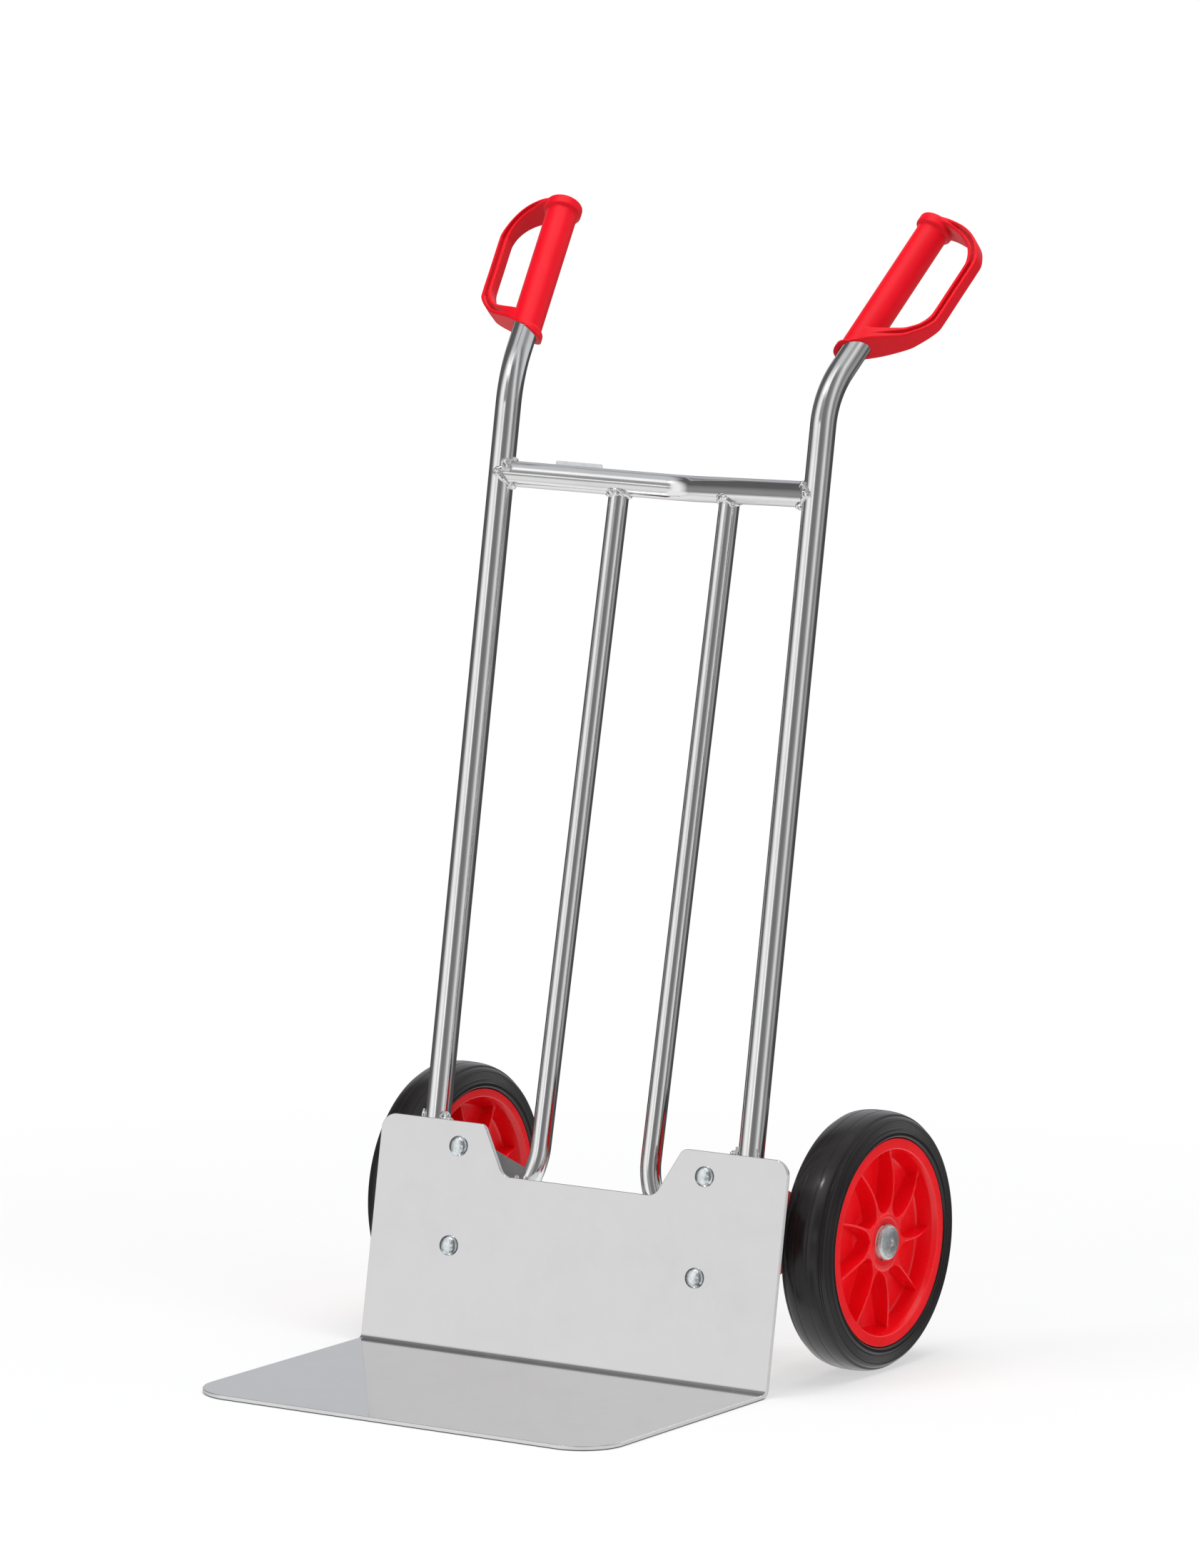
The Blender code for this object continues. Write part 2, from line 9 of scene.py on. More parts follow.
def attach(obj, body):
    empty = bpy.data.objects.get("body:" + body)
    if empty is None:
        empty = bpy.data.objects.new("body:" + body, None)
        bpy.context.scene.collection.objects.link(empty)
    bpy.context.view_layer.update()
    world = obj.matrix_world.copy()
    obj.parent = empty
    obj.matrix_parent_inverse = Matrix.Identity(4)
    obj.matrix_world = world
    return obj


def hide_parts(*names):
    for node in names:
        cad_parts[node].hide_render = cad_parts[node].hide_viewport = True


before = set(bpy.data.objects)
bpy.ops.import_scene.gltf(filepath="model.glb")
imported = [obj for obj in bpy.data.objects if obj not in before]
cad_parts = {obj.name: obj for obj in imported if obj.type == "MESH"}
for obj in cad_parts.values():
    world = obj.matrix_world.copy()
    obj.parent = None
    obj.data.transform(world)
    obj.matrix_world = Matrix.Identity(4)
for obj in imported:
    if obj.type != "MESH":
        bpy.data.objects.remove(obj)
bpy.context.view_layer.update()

scene = bpy.context.scene

# ---- the CAD model's dimensions, in metres --------------------------------------------
SHIFT = Vector((0, -0.0224, 0))
LEAN = radians(9.85)
SHEET = 0.0045
PLATE_HALF, TOE_DEPTH, TOE_CORNER, BEND_IN, EAR_TOP, NOTCH = 0.2320, 0.2925, 0.050, 0.006, 0.2200, 0.1720
TUBE_R, TUBE_WALL = 0.0125, 0.0020
UPRIGHT_X, UPRIGHT_N, UPRIGHT_LOW, KNEE, KNEE_R = 0.1792, 0.0173, 0.020, 0.9447, 0.095
HANDLE_DIR = Vector((0.1618, 0.6781, 0.7170)).normalized()
GRIP_START = 0.0485
CROSS_T, CROSS_BACK, CROSS_R = 0.8488, 0.0516, 0.060
INNER_R, INNER_WALL = 0.0100, 0.0016
INNER_X, INNER_LEAN, INNER_RUN, INNER_BEND = 0.0631, radians(12.045), 0.7190, 0.078
BRACKET_IN, WEB_IN, WEB_OUT = 0.1150, 0.1612, 0.1662
FLANGE_N = (SHEET + 0.0003, SHEET + 0.0053)
AXLE_Y, AXLE_Z, AXLE_R, AXLE_HALF = 0.1725, 0.1250, 0.0100, 0.2615
W = 0.2378
BOLT_X, BOLT_T = 0.1405, (0.0995, 0.1960)
GAP = 0.0003
BORE = AXLE_R + GAP

UP = Vector((0, sin(LEAN), cos(LEAN)))
BACK = Vector((0, cos(LEAN), -sin(LEAN)))
ORIGIN = Vector((0, 0, SHEET)) + SHIFT
SLOPE_BASIS = Matrix(((1, 0, 0), (0, UP.y, BACK.y), (0, UP.z, BACK.z))).to_4x4()
SIDES = (("left", -1), ("right", 1))


def slope(x, t, n=0.0):
    return ORIGIN + Vector((x, 0, 0)) + UP * t + BACK * n


# ---- materials ---------------------------------------------------------------------------
class Nodes:
    """A short way to write a material's nodes."""

    def __init__(self, name):
        self.material = bpy.data.materials.new(name)
        self.material.use_nodes = True
        self.tree = self.material.node_tree
        self.shader = self.tree.nodes["Principled BSDF"]

    def add(self, kind, **settings):
        node = self.tree.nodes.new("ShaderNode" + kind)
        for key, value in settings.items():
            if key in node.inputs.keys():
                node.inputs[key].default_value = value
            else:
                setattr(node, key, value)
        return node

    def link(self, out, into):
        self.tree.links.new(out, into)
        return self

    def coords(self, scale=(1, 1, 1), attribute=None):
        if attribute:
            source = self.add("Attribute", attribute_name=attribute).outputs["Vector"]
        else:
            source = self.add("TexCoord").outputs["Object"]
        mapping = self.add("Mapping")
        mapping.inputs["Scale"].default_value = scale
        self.link(source, mapping.inputs["Vector"])
        return mapping.outputs["Vector"]

    def noise(self, vector, scale, detail=3.0, rough=0.55):
        node = self.add("TexNoise")
        node.inputs["Scale"].default_value = scale
        node.inputs["Detail"].default_value = detail
        node.inputs["Roughness"].default_value = rough
        self.link(vector, node.inputs["Vector"])
        return node.outputs["Fac"]

    def ramp(self, value, stops):
        node = self.add("ValToRGB")
        elements = node.color_ramp.elements
        while len(elements) < len(stops):
            elements.new(0.5)
        for element, (position, colour) in zip(elements, stops):
            element.position = position
            element.color = colour if len(colour) == 4 else (*colour, 1)
        self.link(value, node.inputs["Fac"])
        return node.outputs["Color"]

    def span(self, value, low, high, start=0.0, stop=1.0):
        node = self.add("MapRange")
        for key, number in (("From Min", low), ("From Max", high), ("To Min", start), ("To Max", stop)):
            node.inputs[key].default_value = number
        self.link(value, node.inputs["Value"])
        return node.outputs["Result"]

    def bump(self, height, strength, distance, normal=None):
        node = self.add("Bump")
        node.inputs["Strength"].default_value = strength
        node.inputs["Distance"].default_value = distance
        self.link(height, node.inputs["Height"])
        if normal is not None:
            self.link(normal, node.inputs["Normal"])
        return node.outputs["Normal"]


def principled(name, metallic, specular=0.5, coat=0.0, coat_rough=0.05):
    made = Nodes(name)
    made.shader.inputs["Metallic"].default_value = metallic
    made.shader.inputs["Specular IOR Level"].default_value = specular
    made.shader.inputs["Coat Weight"].default_value = coat
    made.shader.inputs["Coat Roughness"].default_value = coat_rough
    return made


def tube_metal():
    """Drawn and polished tube: fine lines run along it, so its reflections have ragged edges."""
    m = principled("drawn_tube", 1.0)
    lines = m.noise(m.coords((1, 1, 0.012), "grain"), 900, 3, 0.6)
    patches = m.noise(m.coords((1, 1, 0.25), "grain"), 60, 4, 0.6)
    pores = m.noise(m.coords((1, 1, 0.6), "grain"), 420, 2, 0.5)
    colour = m.ramp(patches, [(0.30, (0.88, 0.878, 0.882)), (0.52, (0.945, 0.945, 0.945)), (0.75, (0.90, 0.903, 0.91))])
    m.link(colour, m.shader.inputs["Base Color"])
    m.link(m.span(lines, 0.25, 0.75, 0.06, 0.13), m.shader.inputs["Roughness"])
    m.shader.inputs["Specular Tint"].default_value = (0.58, 0.585, 0.60, 1)
    first = m.bump(lines, 0.06, 0.0004)
    second = m.bump(pores, 0.05, 0.0003, first)
    m.link(second, m.shader.inputs["Normal"])
    return m.material


def plate_metal():
    """Rolled sheet with a satin skin, faint rolling lines, a few handling marks and a painted contact shadow along its
    bottom edge.
    """
    m = principled("rolled_sheet", 1.0)
    lines = m.noise(m.coords((0.02, 1, 1)), 700, 3, 0.6)
    marks = m.noise(m.coords(), 14, 5, 0.65)
    colour = m.ramp(marks, [(0.30, (0.725, 0.716, 0.722)), (0.55, (0.752, 0.745, 0.751)), (0.80, (0.738, 0.731, 0.736))])
    # the toe's sheared edge is rougher than the skin; the lowest 1.25 mm of the sheet is darkened, a painted contact
    # shadow where it meets the floor
    height = m.add("SeparateXYZ")
    m.link(m.coords(), height.inputs[0])
    up = height.outputs["Z"]
    # painted contact shadow: the colour is multiplied almost to black over the sheet's lowest 1.25 mm
    painted_contact_shadow = m.add("Mix", data_type="RGBA", blend_type="MULTIPLY")
    painted_contact_shadow.inputs["Factor"].default_value = 1.0
    m.link(colour, painted_contact_shadow.inputs[6])
    m.link(m.ramp(m.span(up, 0.0, 0.01), [(0.0, (0.05, 0.05, 0.052)), (0.085, (0.10, 0.10, 0.104)), (0.125, (1, 1, 1))]), painted_contact_shadow.inputs[7])
    m.link(painted_contact_shadow.outputs[2], m.shader.inputs["Base Color"])
    sideways = m.add("Math", operation="ABSOLUTE")
    m.link(height.outputs["X"], sideways.inputs[0])
    either = m.add("Math", operation="MAXIMUM")
    m.link(m.span(up, SHEET - 0.0009, SHEET - 0.0002, 1.0, 0.0), either.inputs[0])
    m.link(m.span(sideways.outputs[0], PLATE_HALF - 0.0007, PLATE_HALF - 0.0002), either.inputs[1])
    edge = either.outputs[0]
    m.link(m.span(edge, 0.0, 1.0, 1.0, 0.35), m.shader.inputs["Metallic"])
    skin = m.add("Math", operation="MULTIPLY_ADD")
    m.link(edge, skin.inputs[0])
    skin.inputs[1].default_value = 0.42
    m.link(m.span(marks, 0.3, 0.7, 0.060, 0.085), skin.inputs[2])
    m.link(skin.outputs[0], m.shader.inputs["Roughness"])
    m.link(m.bump(lines, 0.010, 0.0002), m.shader.inputs["Normal"])
    return m.material


def bracket_metal():
    m = principled("bracket_sheet", 1.0)
    marks = m.noise(m.coords(), 45, 5, 0.65)
    grain = m.noise(m.coords(), 700, 3, 0.6)
    m.link(m.ramp(marks, [(0.3, (0.60, 0.595, 0.60)), (0.7, (0.76, 0.755, 0.76))]), m.shader.inputs["Base Color"])
    m.link(m.span(grain, 0.3, 0.7, 0.30, 0.46), m.shader.inputs["Roughness"])
    m.link(m.bump(grain, 0.30, 0.0004), m.shader.inputs["Normal"])
    return m.material


def zinc_metal(name="bright_zinc", tint=(0.88, 0.94, 0.96), rough=(0.05, 0.13), metallic=1.0, dented=0.45):
    m = principled(name, metallic)
    marks = m.noise(m.coords(), 160, 4, 0.6)
    fine = m.noise(m.coords(), 1400, 2, 0.5)
    dark = tuple(c * 0.74 for c in tint)
    m.link(m.ramp(marks, [(0.32, dark), (0.62, tint)]), m.shader.inputs["Base Color"])
    m.link(m.span(marks, 0.3, 0.7, *rough), m.shader.inputs["Roughness"])
    dents = m.noise(m.coords(), 330, 3, 0.55)
    m.link(m.bump(fine, 0.06, 0.0002, m.bump(dents, dented, 0.0006)), m.shader.inputs["Normal"])
    return m.material


def weld_metal():
    m = principled("weld_bead", 1.0)
    lumps = m.noise(m.coords(), 380, 3, 0.6)
    m.link(m.ramp(lumps, [(0.30, (0.78, 0.775, 0.775)), (0.60, (0.97, 0.97, 0.97))]), m.shader.inputs["Base Color"])
    m.link(m.span(lumps, 0.3, 0.7, 0.06, 0.20), m.shader.inputs["Roughness"])
    m.link(m.bump(lumps, 0.50, 0.0010), m.shader.inputs["Normal"])
    return m.material


def steel_bar():
    m = principled("turned_bar", 1.0)
    rings = m.noise(m.coords((1, 0.03, 0.03)), 1500, 2, 0.5)
    m.link(m.ramp(rings, [(0.3, (0.48, 0.485, 0.49)), (0.7, (0.60, 0.605, 0.61))]), m.shader.inputs["Base Color"])
    m.link(m.span(rings, 0.3, 0.7, 0.20, 0.34), m.shader.inputs["Roughness"])
    m.link(m.bump(rings, 0.08, 0.0002), m.shader.inputs["Normal"])
    return m.material


def rubber():
    """Moulded solid rubber with a dull bloom."""
    m = principled("tyre_rubber", 0.0, specular=0.26, coat=0.50, coat_rough=0.14)
    bloom = m.noise(m.coords(), 30, 5, 0.65)
    grain = m.noise(m.coords(), 900, 3, 0.6)
    m.link(m.ramp(bloom, [(0.30, (0.0062, 0.0048, 0.0050)), (0.70, (0.0115, 0.0093, 0.0097))]), m.shader.inputs["Base Color"])
    m.link(m.span(bloom, 0.3, 0.7, 0.27, 0.38), m.shader.inputs["Roughness"])
    m.link(m.bump(grain, 0.08, 0.0002), m.shader.inputs["Normal"])
    return m.material


def rim_plastic():
    """Glossy injection-moulded plastic with a slight unevenness in its skin."""
    m = principled("rim_plastic", 0.0, specular=0.5, coat=0.25, coat_rough=0.10)
    flow = m.noise(m.coords(), 22, 4, 0.55)
    peel = m.noise(m.coords(), 90, 1, 0.4)
    m.link(m.ramp(flow, [(0.30, (0.80, 0.0010, 0.0055)), (0.70, (0.88, 0.0020, 0.0085))]), m.shader.inputs["Base Color"])
    m.link(m.span(flow, 0.3, 0.7, 0.24, 0.32), m.shader.inputs["Roughness"])
    m.link(m.bump(peel, 0.02, 0.0003), m.shader.inputs["Normal"])
    return m.material


def grip_plastic():
    """Satin moulded plastic with a very fine grain."""
    m = principled("grip_plastic", 0.0, specular=0.16)
    flow = m.noise(m.coords(), 18, 4, 0.55)
    grain = m.noise(m.coords(), 1600, 2, 0.5)
    m.link(m.ramp(flow, [(0.30, (0.55, 0.0016, 0.009)), (0.70, (0.60, 0.0026, 0.012))]), m.shader.inputs["Base Color"])
    m.link(m.span(grain, 0.3, 0.7, 0.36, 0.46), m.shader.inputs["Roughness"])
    m.link(m.bump(grain, 0.06, 0.0002), m.shader.inputs["Normal"])
    return m.material


def nylon():
    m = principled("natural_nylon", 0.0)
    flow = m.noise(m.coords(), 60, 3, 0.5)
    m.link(m.ramp(flow, [(0.3, (0.74, 0.73, 0.68)), (0.7, (0.82, 0.81, 0.77))]), m.shader.inputs["Base Color"])
    m.link(m.span(flow, 0.3, 0.7, 0.40, 0.50), m.shader.inputs["Roughness"])
    return m.material


def label_plastic():
    m = principled("blank_label", 0.0)
    flow = m.noise(m.coords(), 90, 3, 0.5)
    m.link(m.ramp(flow, [(0.3, (0.60, 0.605, 0.615)), (0.7, (0.68, 0.685, 0.695))]), m.shader.inputs["Base Color"])
    m.link(m.span(flow, 0.3, 0.7, 0.28, 0.38), m.shader.inputs["Roughness"])
    return m.material


TUBE, PLATE, BRACKET, ZINC, WELD = tube_metal(), plate_metal(), bracket_metal(), zinc_metal(), weld_metal()
CAP = zinc_metal("pressed_cap", (0.72, 0.75, 0.76), (0.20, 0.34), 0.82, 0.40)
BAR, RUBBER, RIM, GRIP, NYLON, LABEL = steel_bar(), rubber(), rim_plastic(), grip_plastic(), nylon(), label_plastic()


# ---- mesh helpers --------------------------------------------------------------------------
def finished(name, bm, material, body, slot, *nodes, angle=32, fix=True):
    """Turns a bmesh in row coordinates into a piece that rides on its body."""
    if fix:
        bmesh.ops.recalc_face_normals(bm, faces=bm.faces)
    mesh = bpy.data.meshes.new(name)
    bm.to_mesh(mesh)
    bm.free()
    mesh.shade_smooth()
    mesh.set_sharp_from_angle(angle=radians(angle))
    return placed(name, mesh, material, body, slot, *nodes)


def placed(name, mesh, material, body, slot, *nodes):
    mesh.materials.clear()
    mesh.materials.append(material)
    obj = bpy.data.objects.new(name, mesh)
    scene.collection.objects.link(obj)
    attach(obj, body)
    if nodes:
        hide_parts(*nodes)
    return obj


def rounded(points, radii, steps=10):
    """Rounds the corners of a closed 2D outline."""
    out = []
    for i, (here, radius) in enumerate(zip(points, radii)):
        p, a, b = Vector(here), Vector(points[i - 1]), Vector(points[(i + 1) % len(points)])
        u, v = (a - p).normalized(), (b - p).normalized()
        if radius <= 0 or u.dot(v) < -0.9999:
            out.append(tuple(p))
            continue
        half = u.angle(v) / 2
        reach = min(radius / tan(half), 0.49 * (a - p).length, 0.49 * (b - p).length)
        radius = reach * tan(half)
        centre = p + (u + v).normalized() * (radius / sin(half))
        start, end = p + u * reach - centre, p + v * reach - centre
        turn = start.angle_signed(end)
        count = max(2, ceil(steps * abs(turn) / (pi / 2) - 1e-4))
        for k in range(count + 1):
            angle = -turn * k / count
            out.append((centre.x + start.x * cos(angle) - start.y * sin(angle), centre.y + start.x * sin(angle) + start.y * cos(angle)))
    return out


def filleted(points, radii, steps=28):
    """A 3D polyline with its inner corners turned into arcs."""
    out = [Vector(points[0])]
    for i in range(1, len(points) - 1):
        p, a, b = (Vector(q) for q in (points[i], points[i - 1], points[i + 1]))
        u, v = (a - p).normalized(), (b - p).normalized()
        half = u.angle(v) / 2
        reach = radii[i - 1] / tan(half)
        centre = p + (u + v).normalized() * (radii[i - 1] / sin(half))
        start, end = p + u * reach - centre, p + v * reach - centre
        sweep = start.angle(end)
        for k in range(steps + 1):
            f = k / steps
            out.append(centre + (start * sin((1 - f) * sweep) + end * sin(f * sweep)) / sin(sweep))
    out.append(Vector(points[-1]))
    return out


def mirrored(points, side):
    return [Vector((p.x * side, p.y, p.z)) for p in points]


def carried(path, hint):
    """Point, tangent and two normals along a path, carried without twist."""
    out = []
    normal = Vector(hint)
    for i, p in enumerate(path):
        before, after = path[max(i - 1, 0)], path[min(i + 1, len(path) - 1)]
        tangent = (after - before).normalized()
        if 0 < i < len(path) - 1:
            tangent = ((p - before).normalized() + (after - p).normalized()).normalized()
        normal = (normal - tangent * normal.dot(tangent)).normalized()
        out.append((p, tangent, normal, tangent.cross(normal)))
    return out


def onto_cylinder(point, axis, radius):
    """Slides a ring's point along its tube to a cylinder's near surface."""
    def fit(q, t):
        w, d = q - point, t - axis * t.dot(axis)
        w = w - axis * w.dot(axis)
        a, b, c = d.dot(d), 2 * w.dot(d), w.dot(w) - radius * radius
        disc = b * b - 4 * a * c
        return q + t * ((-b - sqrt(disc)) / (2 * a) if disc > 0 else -b / (2 * a))
    return fit


def onto_plane(x):
    return lambda q, t: q + t * ((x - q.x) / t.x)


def pipe(path, r_out, r_in, sides, hint, fit_start=None, fit_end=None):
    """A hollow tube along a path. grain holds (round, round, along) for the drawn lines. Returns its end rings too."""
    bm = bmesh.new()
    grain = bm.verts.layers.float_vector.new("grain")
    frames, run, shells = carried(path, hint), 0.0, ([], [])
    for i, (p, t, u, v) in enumerate(frames):
        run += (p - frames[i - 1][0]).length if i else 0.0
        for r, shell in zip((r_out, r_in), shells):
            ring = []
            for k in range(sides):
                a = 2 * pi * k / sides
                q = p + (u * cos(a) + v * sin(a)) * r
                if i == 0 and fit_start:
                    q = fit_start(q, -t)
                if i == len(frames) - 1 and fit_end:
                    q = fit_end(q, t)
                vert = bm.verts.new(q)
                vert[grain] = (r * cos(a), r * sin(a), run)
                ring.append(vert)
            shell.append(ring)
    for shell in shells:
        for one, two in zip(shell, shell[1:]):
            for k in range(sides):
                j = (k + 1) % sides
                bm.faces.new((one[k], one[j], two[j], two[k]))
    for end in (0, -1):
        for k in range(sides):
            j = (k + 1) % sides
            bm.faces.new((shells[0][end][k], shells[0][end][j], shells[1][end][j], shells[1][end][k]))
    ends = [[v.co.copy() for v in shells[0][end]] for end in (0, -1)]
    centres = [frames[0][0], frames[-1][0]]
    return bm, ends, centres


def bead(bm, loop, centre, width, seed, closed=True, ripples=30, lift=0.35, around=14):
    """A weld bead along a loop of points: an uneven, rippled roll of metal."""
    count = len(loop)
    rings = []
    for i, p in enumerate(loop):
        before, after = loop[i - 1 if closed or i else 0], loop[(i + 1) % count if closed or i < count - 1 else i]
        tangent = (after - before).normalized()
        out = (p - centre) if closed else (Vector(centre))
        out = (out - tangent * out.dot(tangent)).normalized()
        over = tangent.cross(out)
        way = 2 * pi * i / count if closed else 3.0 * i / count
        lump = noise.noise(Vector((cos(way) * 1.7, sin(way) * 1.7, seed * 3.7))) if closed else noise.noise(Vector((way * 1.7, 0.0, seed * 3.7)))
        scallop = abs(sin(pi * ripples * i / count)) ** 0.6
        size = width * (0.78 + 0.55 * lump + 0.26 * scallop)
        if not closed:
            size *= min(1.0, 0.35 + 3.2 * min(i, count - 1 - i) / count)
        shift = over * (width * 0.45 * noise.noise(Vector((cos(way), sin(way), seed + 5.0)))) + out * (width * lift * 0.3)
        rings.append([bm.verts.new(p + shift + out * (cos(2 * pi * k / around) * size * 0.85) + over * (sin(2 * pi * k / around) * size)) for k in range(around)])
    pairs = list(zip(rings, rings[1:])) + ([(rings[-1], rings[0])] if closed else [])
    for one, two in pairs:
        for k in range(around):
            j = (k + 1) % around
            bm.faces.new((one[k], one[j], two[j], two[k]))
    if not closed:
        bm.faces.new(rings[0])
        bm.faces.new(rings[-1][::-1])


def blob(bm, centre, size, seed, facing=(0.3, -1, 0.1), crater=0.30, squash=(1, 1, 1)):
    """The end of a weld run: a lump of metal with a shrunk crater in its face."""
    facing = Vector(facing).normalized()
    made = bmesh.ops.create_icosphere(bm, subdivisions=4, radius=1.0)
    for vert in made["verts"]:
        away = vert.co.normalized()
        scale = 1 + 0.20 * noise.noise(away * 1.6 + Vector((seed, 0, 0))) + 0.05 * noise.noise(away * 4.5 + Vector((0, seed, 0)))
        angle = away.angle(facing)
        scale -= crater * math_exp(-(angle / 0.34) ** 2) - 0.10 * math_exp(-((angle - 0.62) / 0.16) ** 2)
        vert.co = Vector(centre) + Vector(a * b for a, b in zip(away * (size * scale), squash))


def lathe(bm, profile, steps, to_world, closed=True):
    """Turns a profile of (height, radius) round the local z axis."""
    rings = []
    for h, r in profile:
        if r < 1e-7:
            rings.append([bm.verts.new(to_world @ Vector((0, 0, h)))])
        else:
            rings.append([bm.verts.new(to_world @ Vector((r * cos(2 * pi * k / steps), r * sin(2 * pi * k / steps), h))) for k in range(steps)])
    pairs = list(zip(rings, rings[1:])) + ([(rings[-1], rings[0])] if closed else [])
    for one, two in pairs:
        if len(one) == 1 and len(two) == 1:
            continue
        for k in range(steps):
            j = (k + 1) % steps
            if len(one) == 1:
                bm.faces.new((one[0], two[j], two[k]))
            elif len(two) == 1:
                bm.faces.new((one[k], one[j], two[0]))
            else:
                bm.faces.new((one[k], one[j], two[j], two[k]))
    return bm


def on_axle(side):
    """Local z runs outwards along the axle from the truck's middle plane."""
    return Matrix.Translation((0, AXLE_Y + SHIFT.y, AXLE_Z)) @ Matrix.Rotation(side * pi / 2, 4, "Y")


def prism(points, low, high):
    bm = bmesh.new()
    face = bm.faces.new([bm.verts.new((x, y, low)) for x, y in points])
    made = bmesh.ops.extrude_face_region(bm, geom=[face])
    bmesh.ops.translate(bm, vec=(0, 0, high - low), verts=[v for v in made["geom"] if isinstance(v, bmesh.types.BMVert)])
    bmesh.ops.recalc_face_normals(bm, faces=bm.faces)
    return bm


def working(bm, matrix=None):
    """A helper object for a modifier, removed again when it is used up."""
    if matrix is not None:
        bmesh.ops.transform(bm, matrix=matrix, verts=bm.verts)
        if matrix.determinant() < 0:
            bmesh.ops.reverse_faces(bm, faces=bm.faces)
    bmesh.ops.recalc_face_normals(bm, faces=bm.faces)
    mesh = bpy.data.meshes.new("work")
    bm.to_mesh(mesh)
    bm.free()
    obj = bpy.data.objects.new("work", mesh)
    scene.collection.objects.link(obj)
    return obj


def evaluated(obj, *used):
    """The object's mesh with its modifiers applied; the object and its cutters go."""
    bpy.context.view_layer.update()
    mesh = bpy.data.meshes.new_from_object(obj.evaluated_get(bpy.context.evaluated_depsgraph_get()))
    for old in (obj, *used):
        bpy.data.objects.remove(old, do_unlink=True)
    return mesh


def boolean(obj, cutter, operation="DIFFERENCE"):
    made = obj.modifiers.new(operation, "BOOLEAN")
    made.operation, made.object, made.solver = operation, cutter, "EXACT"


def softened(obj, width, segments=2, angle=40):
    """Small rounds on the sharp edges, with flat faces kept flat."""
    edge = obj.modifiers.new("edge", "BEVEL")
    edge.width, edge.segments, edge.limit_method, edge.angle_limit = width, segments, "ANGLE", radians(angle)
    edge.use_clamp_overlap = True
    flat = obj.modifiers.new("flat", "WEIGHTED_NORMAL")
    flat.keep_sharp = False
    flat.weight = 80
    for face in obj.data.polygons:
        face.use_smooth = True


YZ_TO_X = Matrix(((0, 0, 1, 0), (1, 0, 0, 0), (0, 1, 0, 0), (0, 0, 0, 1)))

# ---- tubes ----------------------------------------------------------------------------------
knee = slope(UPRIGHT_X, KNEE, UPRIGHT_N)
grip_base = knee + HANDLE_DIR * GRIP_START
upright_path = filleted([slope(UPRIGHT_X, UPRIGHT_LOW, UPRIGHT_N), knee, knee + HANDLE_DIR * (GRIP_START + 0.158)], [KNEE_R])
for name, side in SIDES:
    bm, _, _ = pipe(mirrored(upright_path, side), TUBE_R, TUBE_R - TUBE_WALL, 72, (1, 0, 0))
    finished(f"upright_tube_{name}", bm, TUBE, "frame", "polished_aluminium", f"upright_{name}")

cross_path = filleted([slope(-UPRIGHT_X, CROSS_T, UPRIGHT_N), slope(0, CROSS_T, UPRIGHT_N + CROSS_BACK), slope(UPRIGHT_X, CROSS_T, UPRIGHT_N)], [CROSS_R], 36)
inward = (cross_path[1] - cross_path[0]).normalized()
cross_path[0] = cross_path[0] + inward * (TUBE_R + 0.004)
cross_path[-1] = cross_path[-1] + (cross_path[-2] - cross_path[-1]).normalized() * (TUBE_R + 0.004)
cross_fits = [onto_cylinder(slope(s * UPRIGHT_X, CROSS_T, UPRIGHT_N), UP, TUBE_R - 0.0002) for s in (-1, 1)]
bm, cross_ends, cross_centres = pipe(cross_path, TUBE_R, TUBE_R - TUBE_WALL, 72, UP, *cross_fits)
finished("cross_rail", bm, TUBE, "frame", "polished_aluminium", "cross_tube")

lean_in = Vector((0, sin(INNER_LEAN), cos(INNER_LEAN)))
inner_top = slope(INNER_X, CROSS_T, UPRIGHT_N + CROSS_BACK * (1 - INNER_X / UPRIGHT_X))
inner_turn = inner_top - lean_in * INNER_RUN
inner_end = inner_turn + Vector((WEB_IN - GAP - INNER_X, 0, -0.004))
inner_path = filleted([inner_top - lean_in * 0.016, inner_turn, inner_end - Vector((0.004, 0, 0))], [INNER_BEND], 40)
cross_run = (slope(0, CROSS_T, UPRIGHT_N + CROSS_BACK) - slope(UPRIGHT_X, CROSS_T, UPRIGHT_N)).normalized()
welds = bmesh.new()
for name, side in SIDES:
    axis = Vector((cross_run.x * side, cross_run.y, cross_run.z))
    start = mirrored([inner_top], side)[0]
    bm, ends, centres = pipe(mirrored(inner_path, side), INNER_R, INNER_R - INNER_WALL, 64, (1, 0, 0),
                             onto_cylinder(start, axis, TUBE_R - 0.0002), onto_plane(side * (WEB_IN - 0.0001)))
    finished(f"inner_rail_{name}", bm, TUBE, "frame", "polished_aluminium", f"inner_tube_{name}")
    for k, (loop, centre) in enumerate(zip(ends, centres)):
        bead(welds, loop, centre, 0.0027 if k == 0 else 0.0030, 3 + k + side, ripples=18)
    front = min(ends[0], key=lambda p: p.y * 1.0 + p.x * 0.55 - p.z * 0.2)
    tail = min(ends[0], key=lambda p: p.y * 0.9 - p.x * 0.75 + p.z * 0.1)
    blob(welds, front + Vector((0.0004, -0.0008, -0.0006)), 0.0042, 31 + side)
    blob(welds, tail + Vector((0.0006, -0.0004, -0.0018)), 0.0033, 35 + side, facing=(0.9, -0.8, -0.2), crater=0.2)
    blob(welds, (front + tail) / 2 + Vector((0, -0.0010, -0.0020)), 0.0030, 38 + side, crater=0.05, squash=(1.4, 1, 0.8))
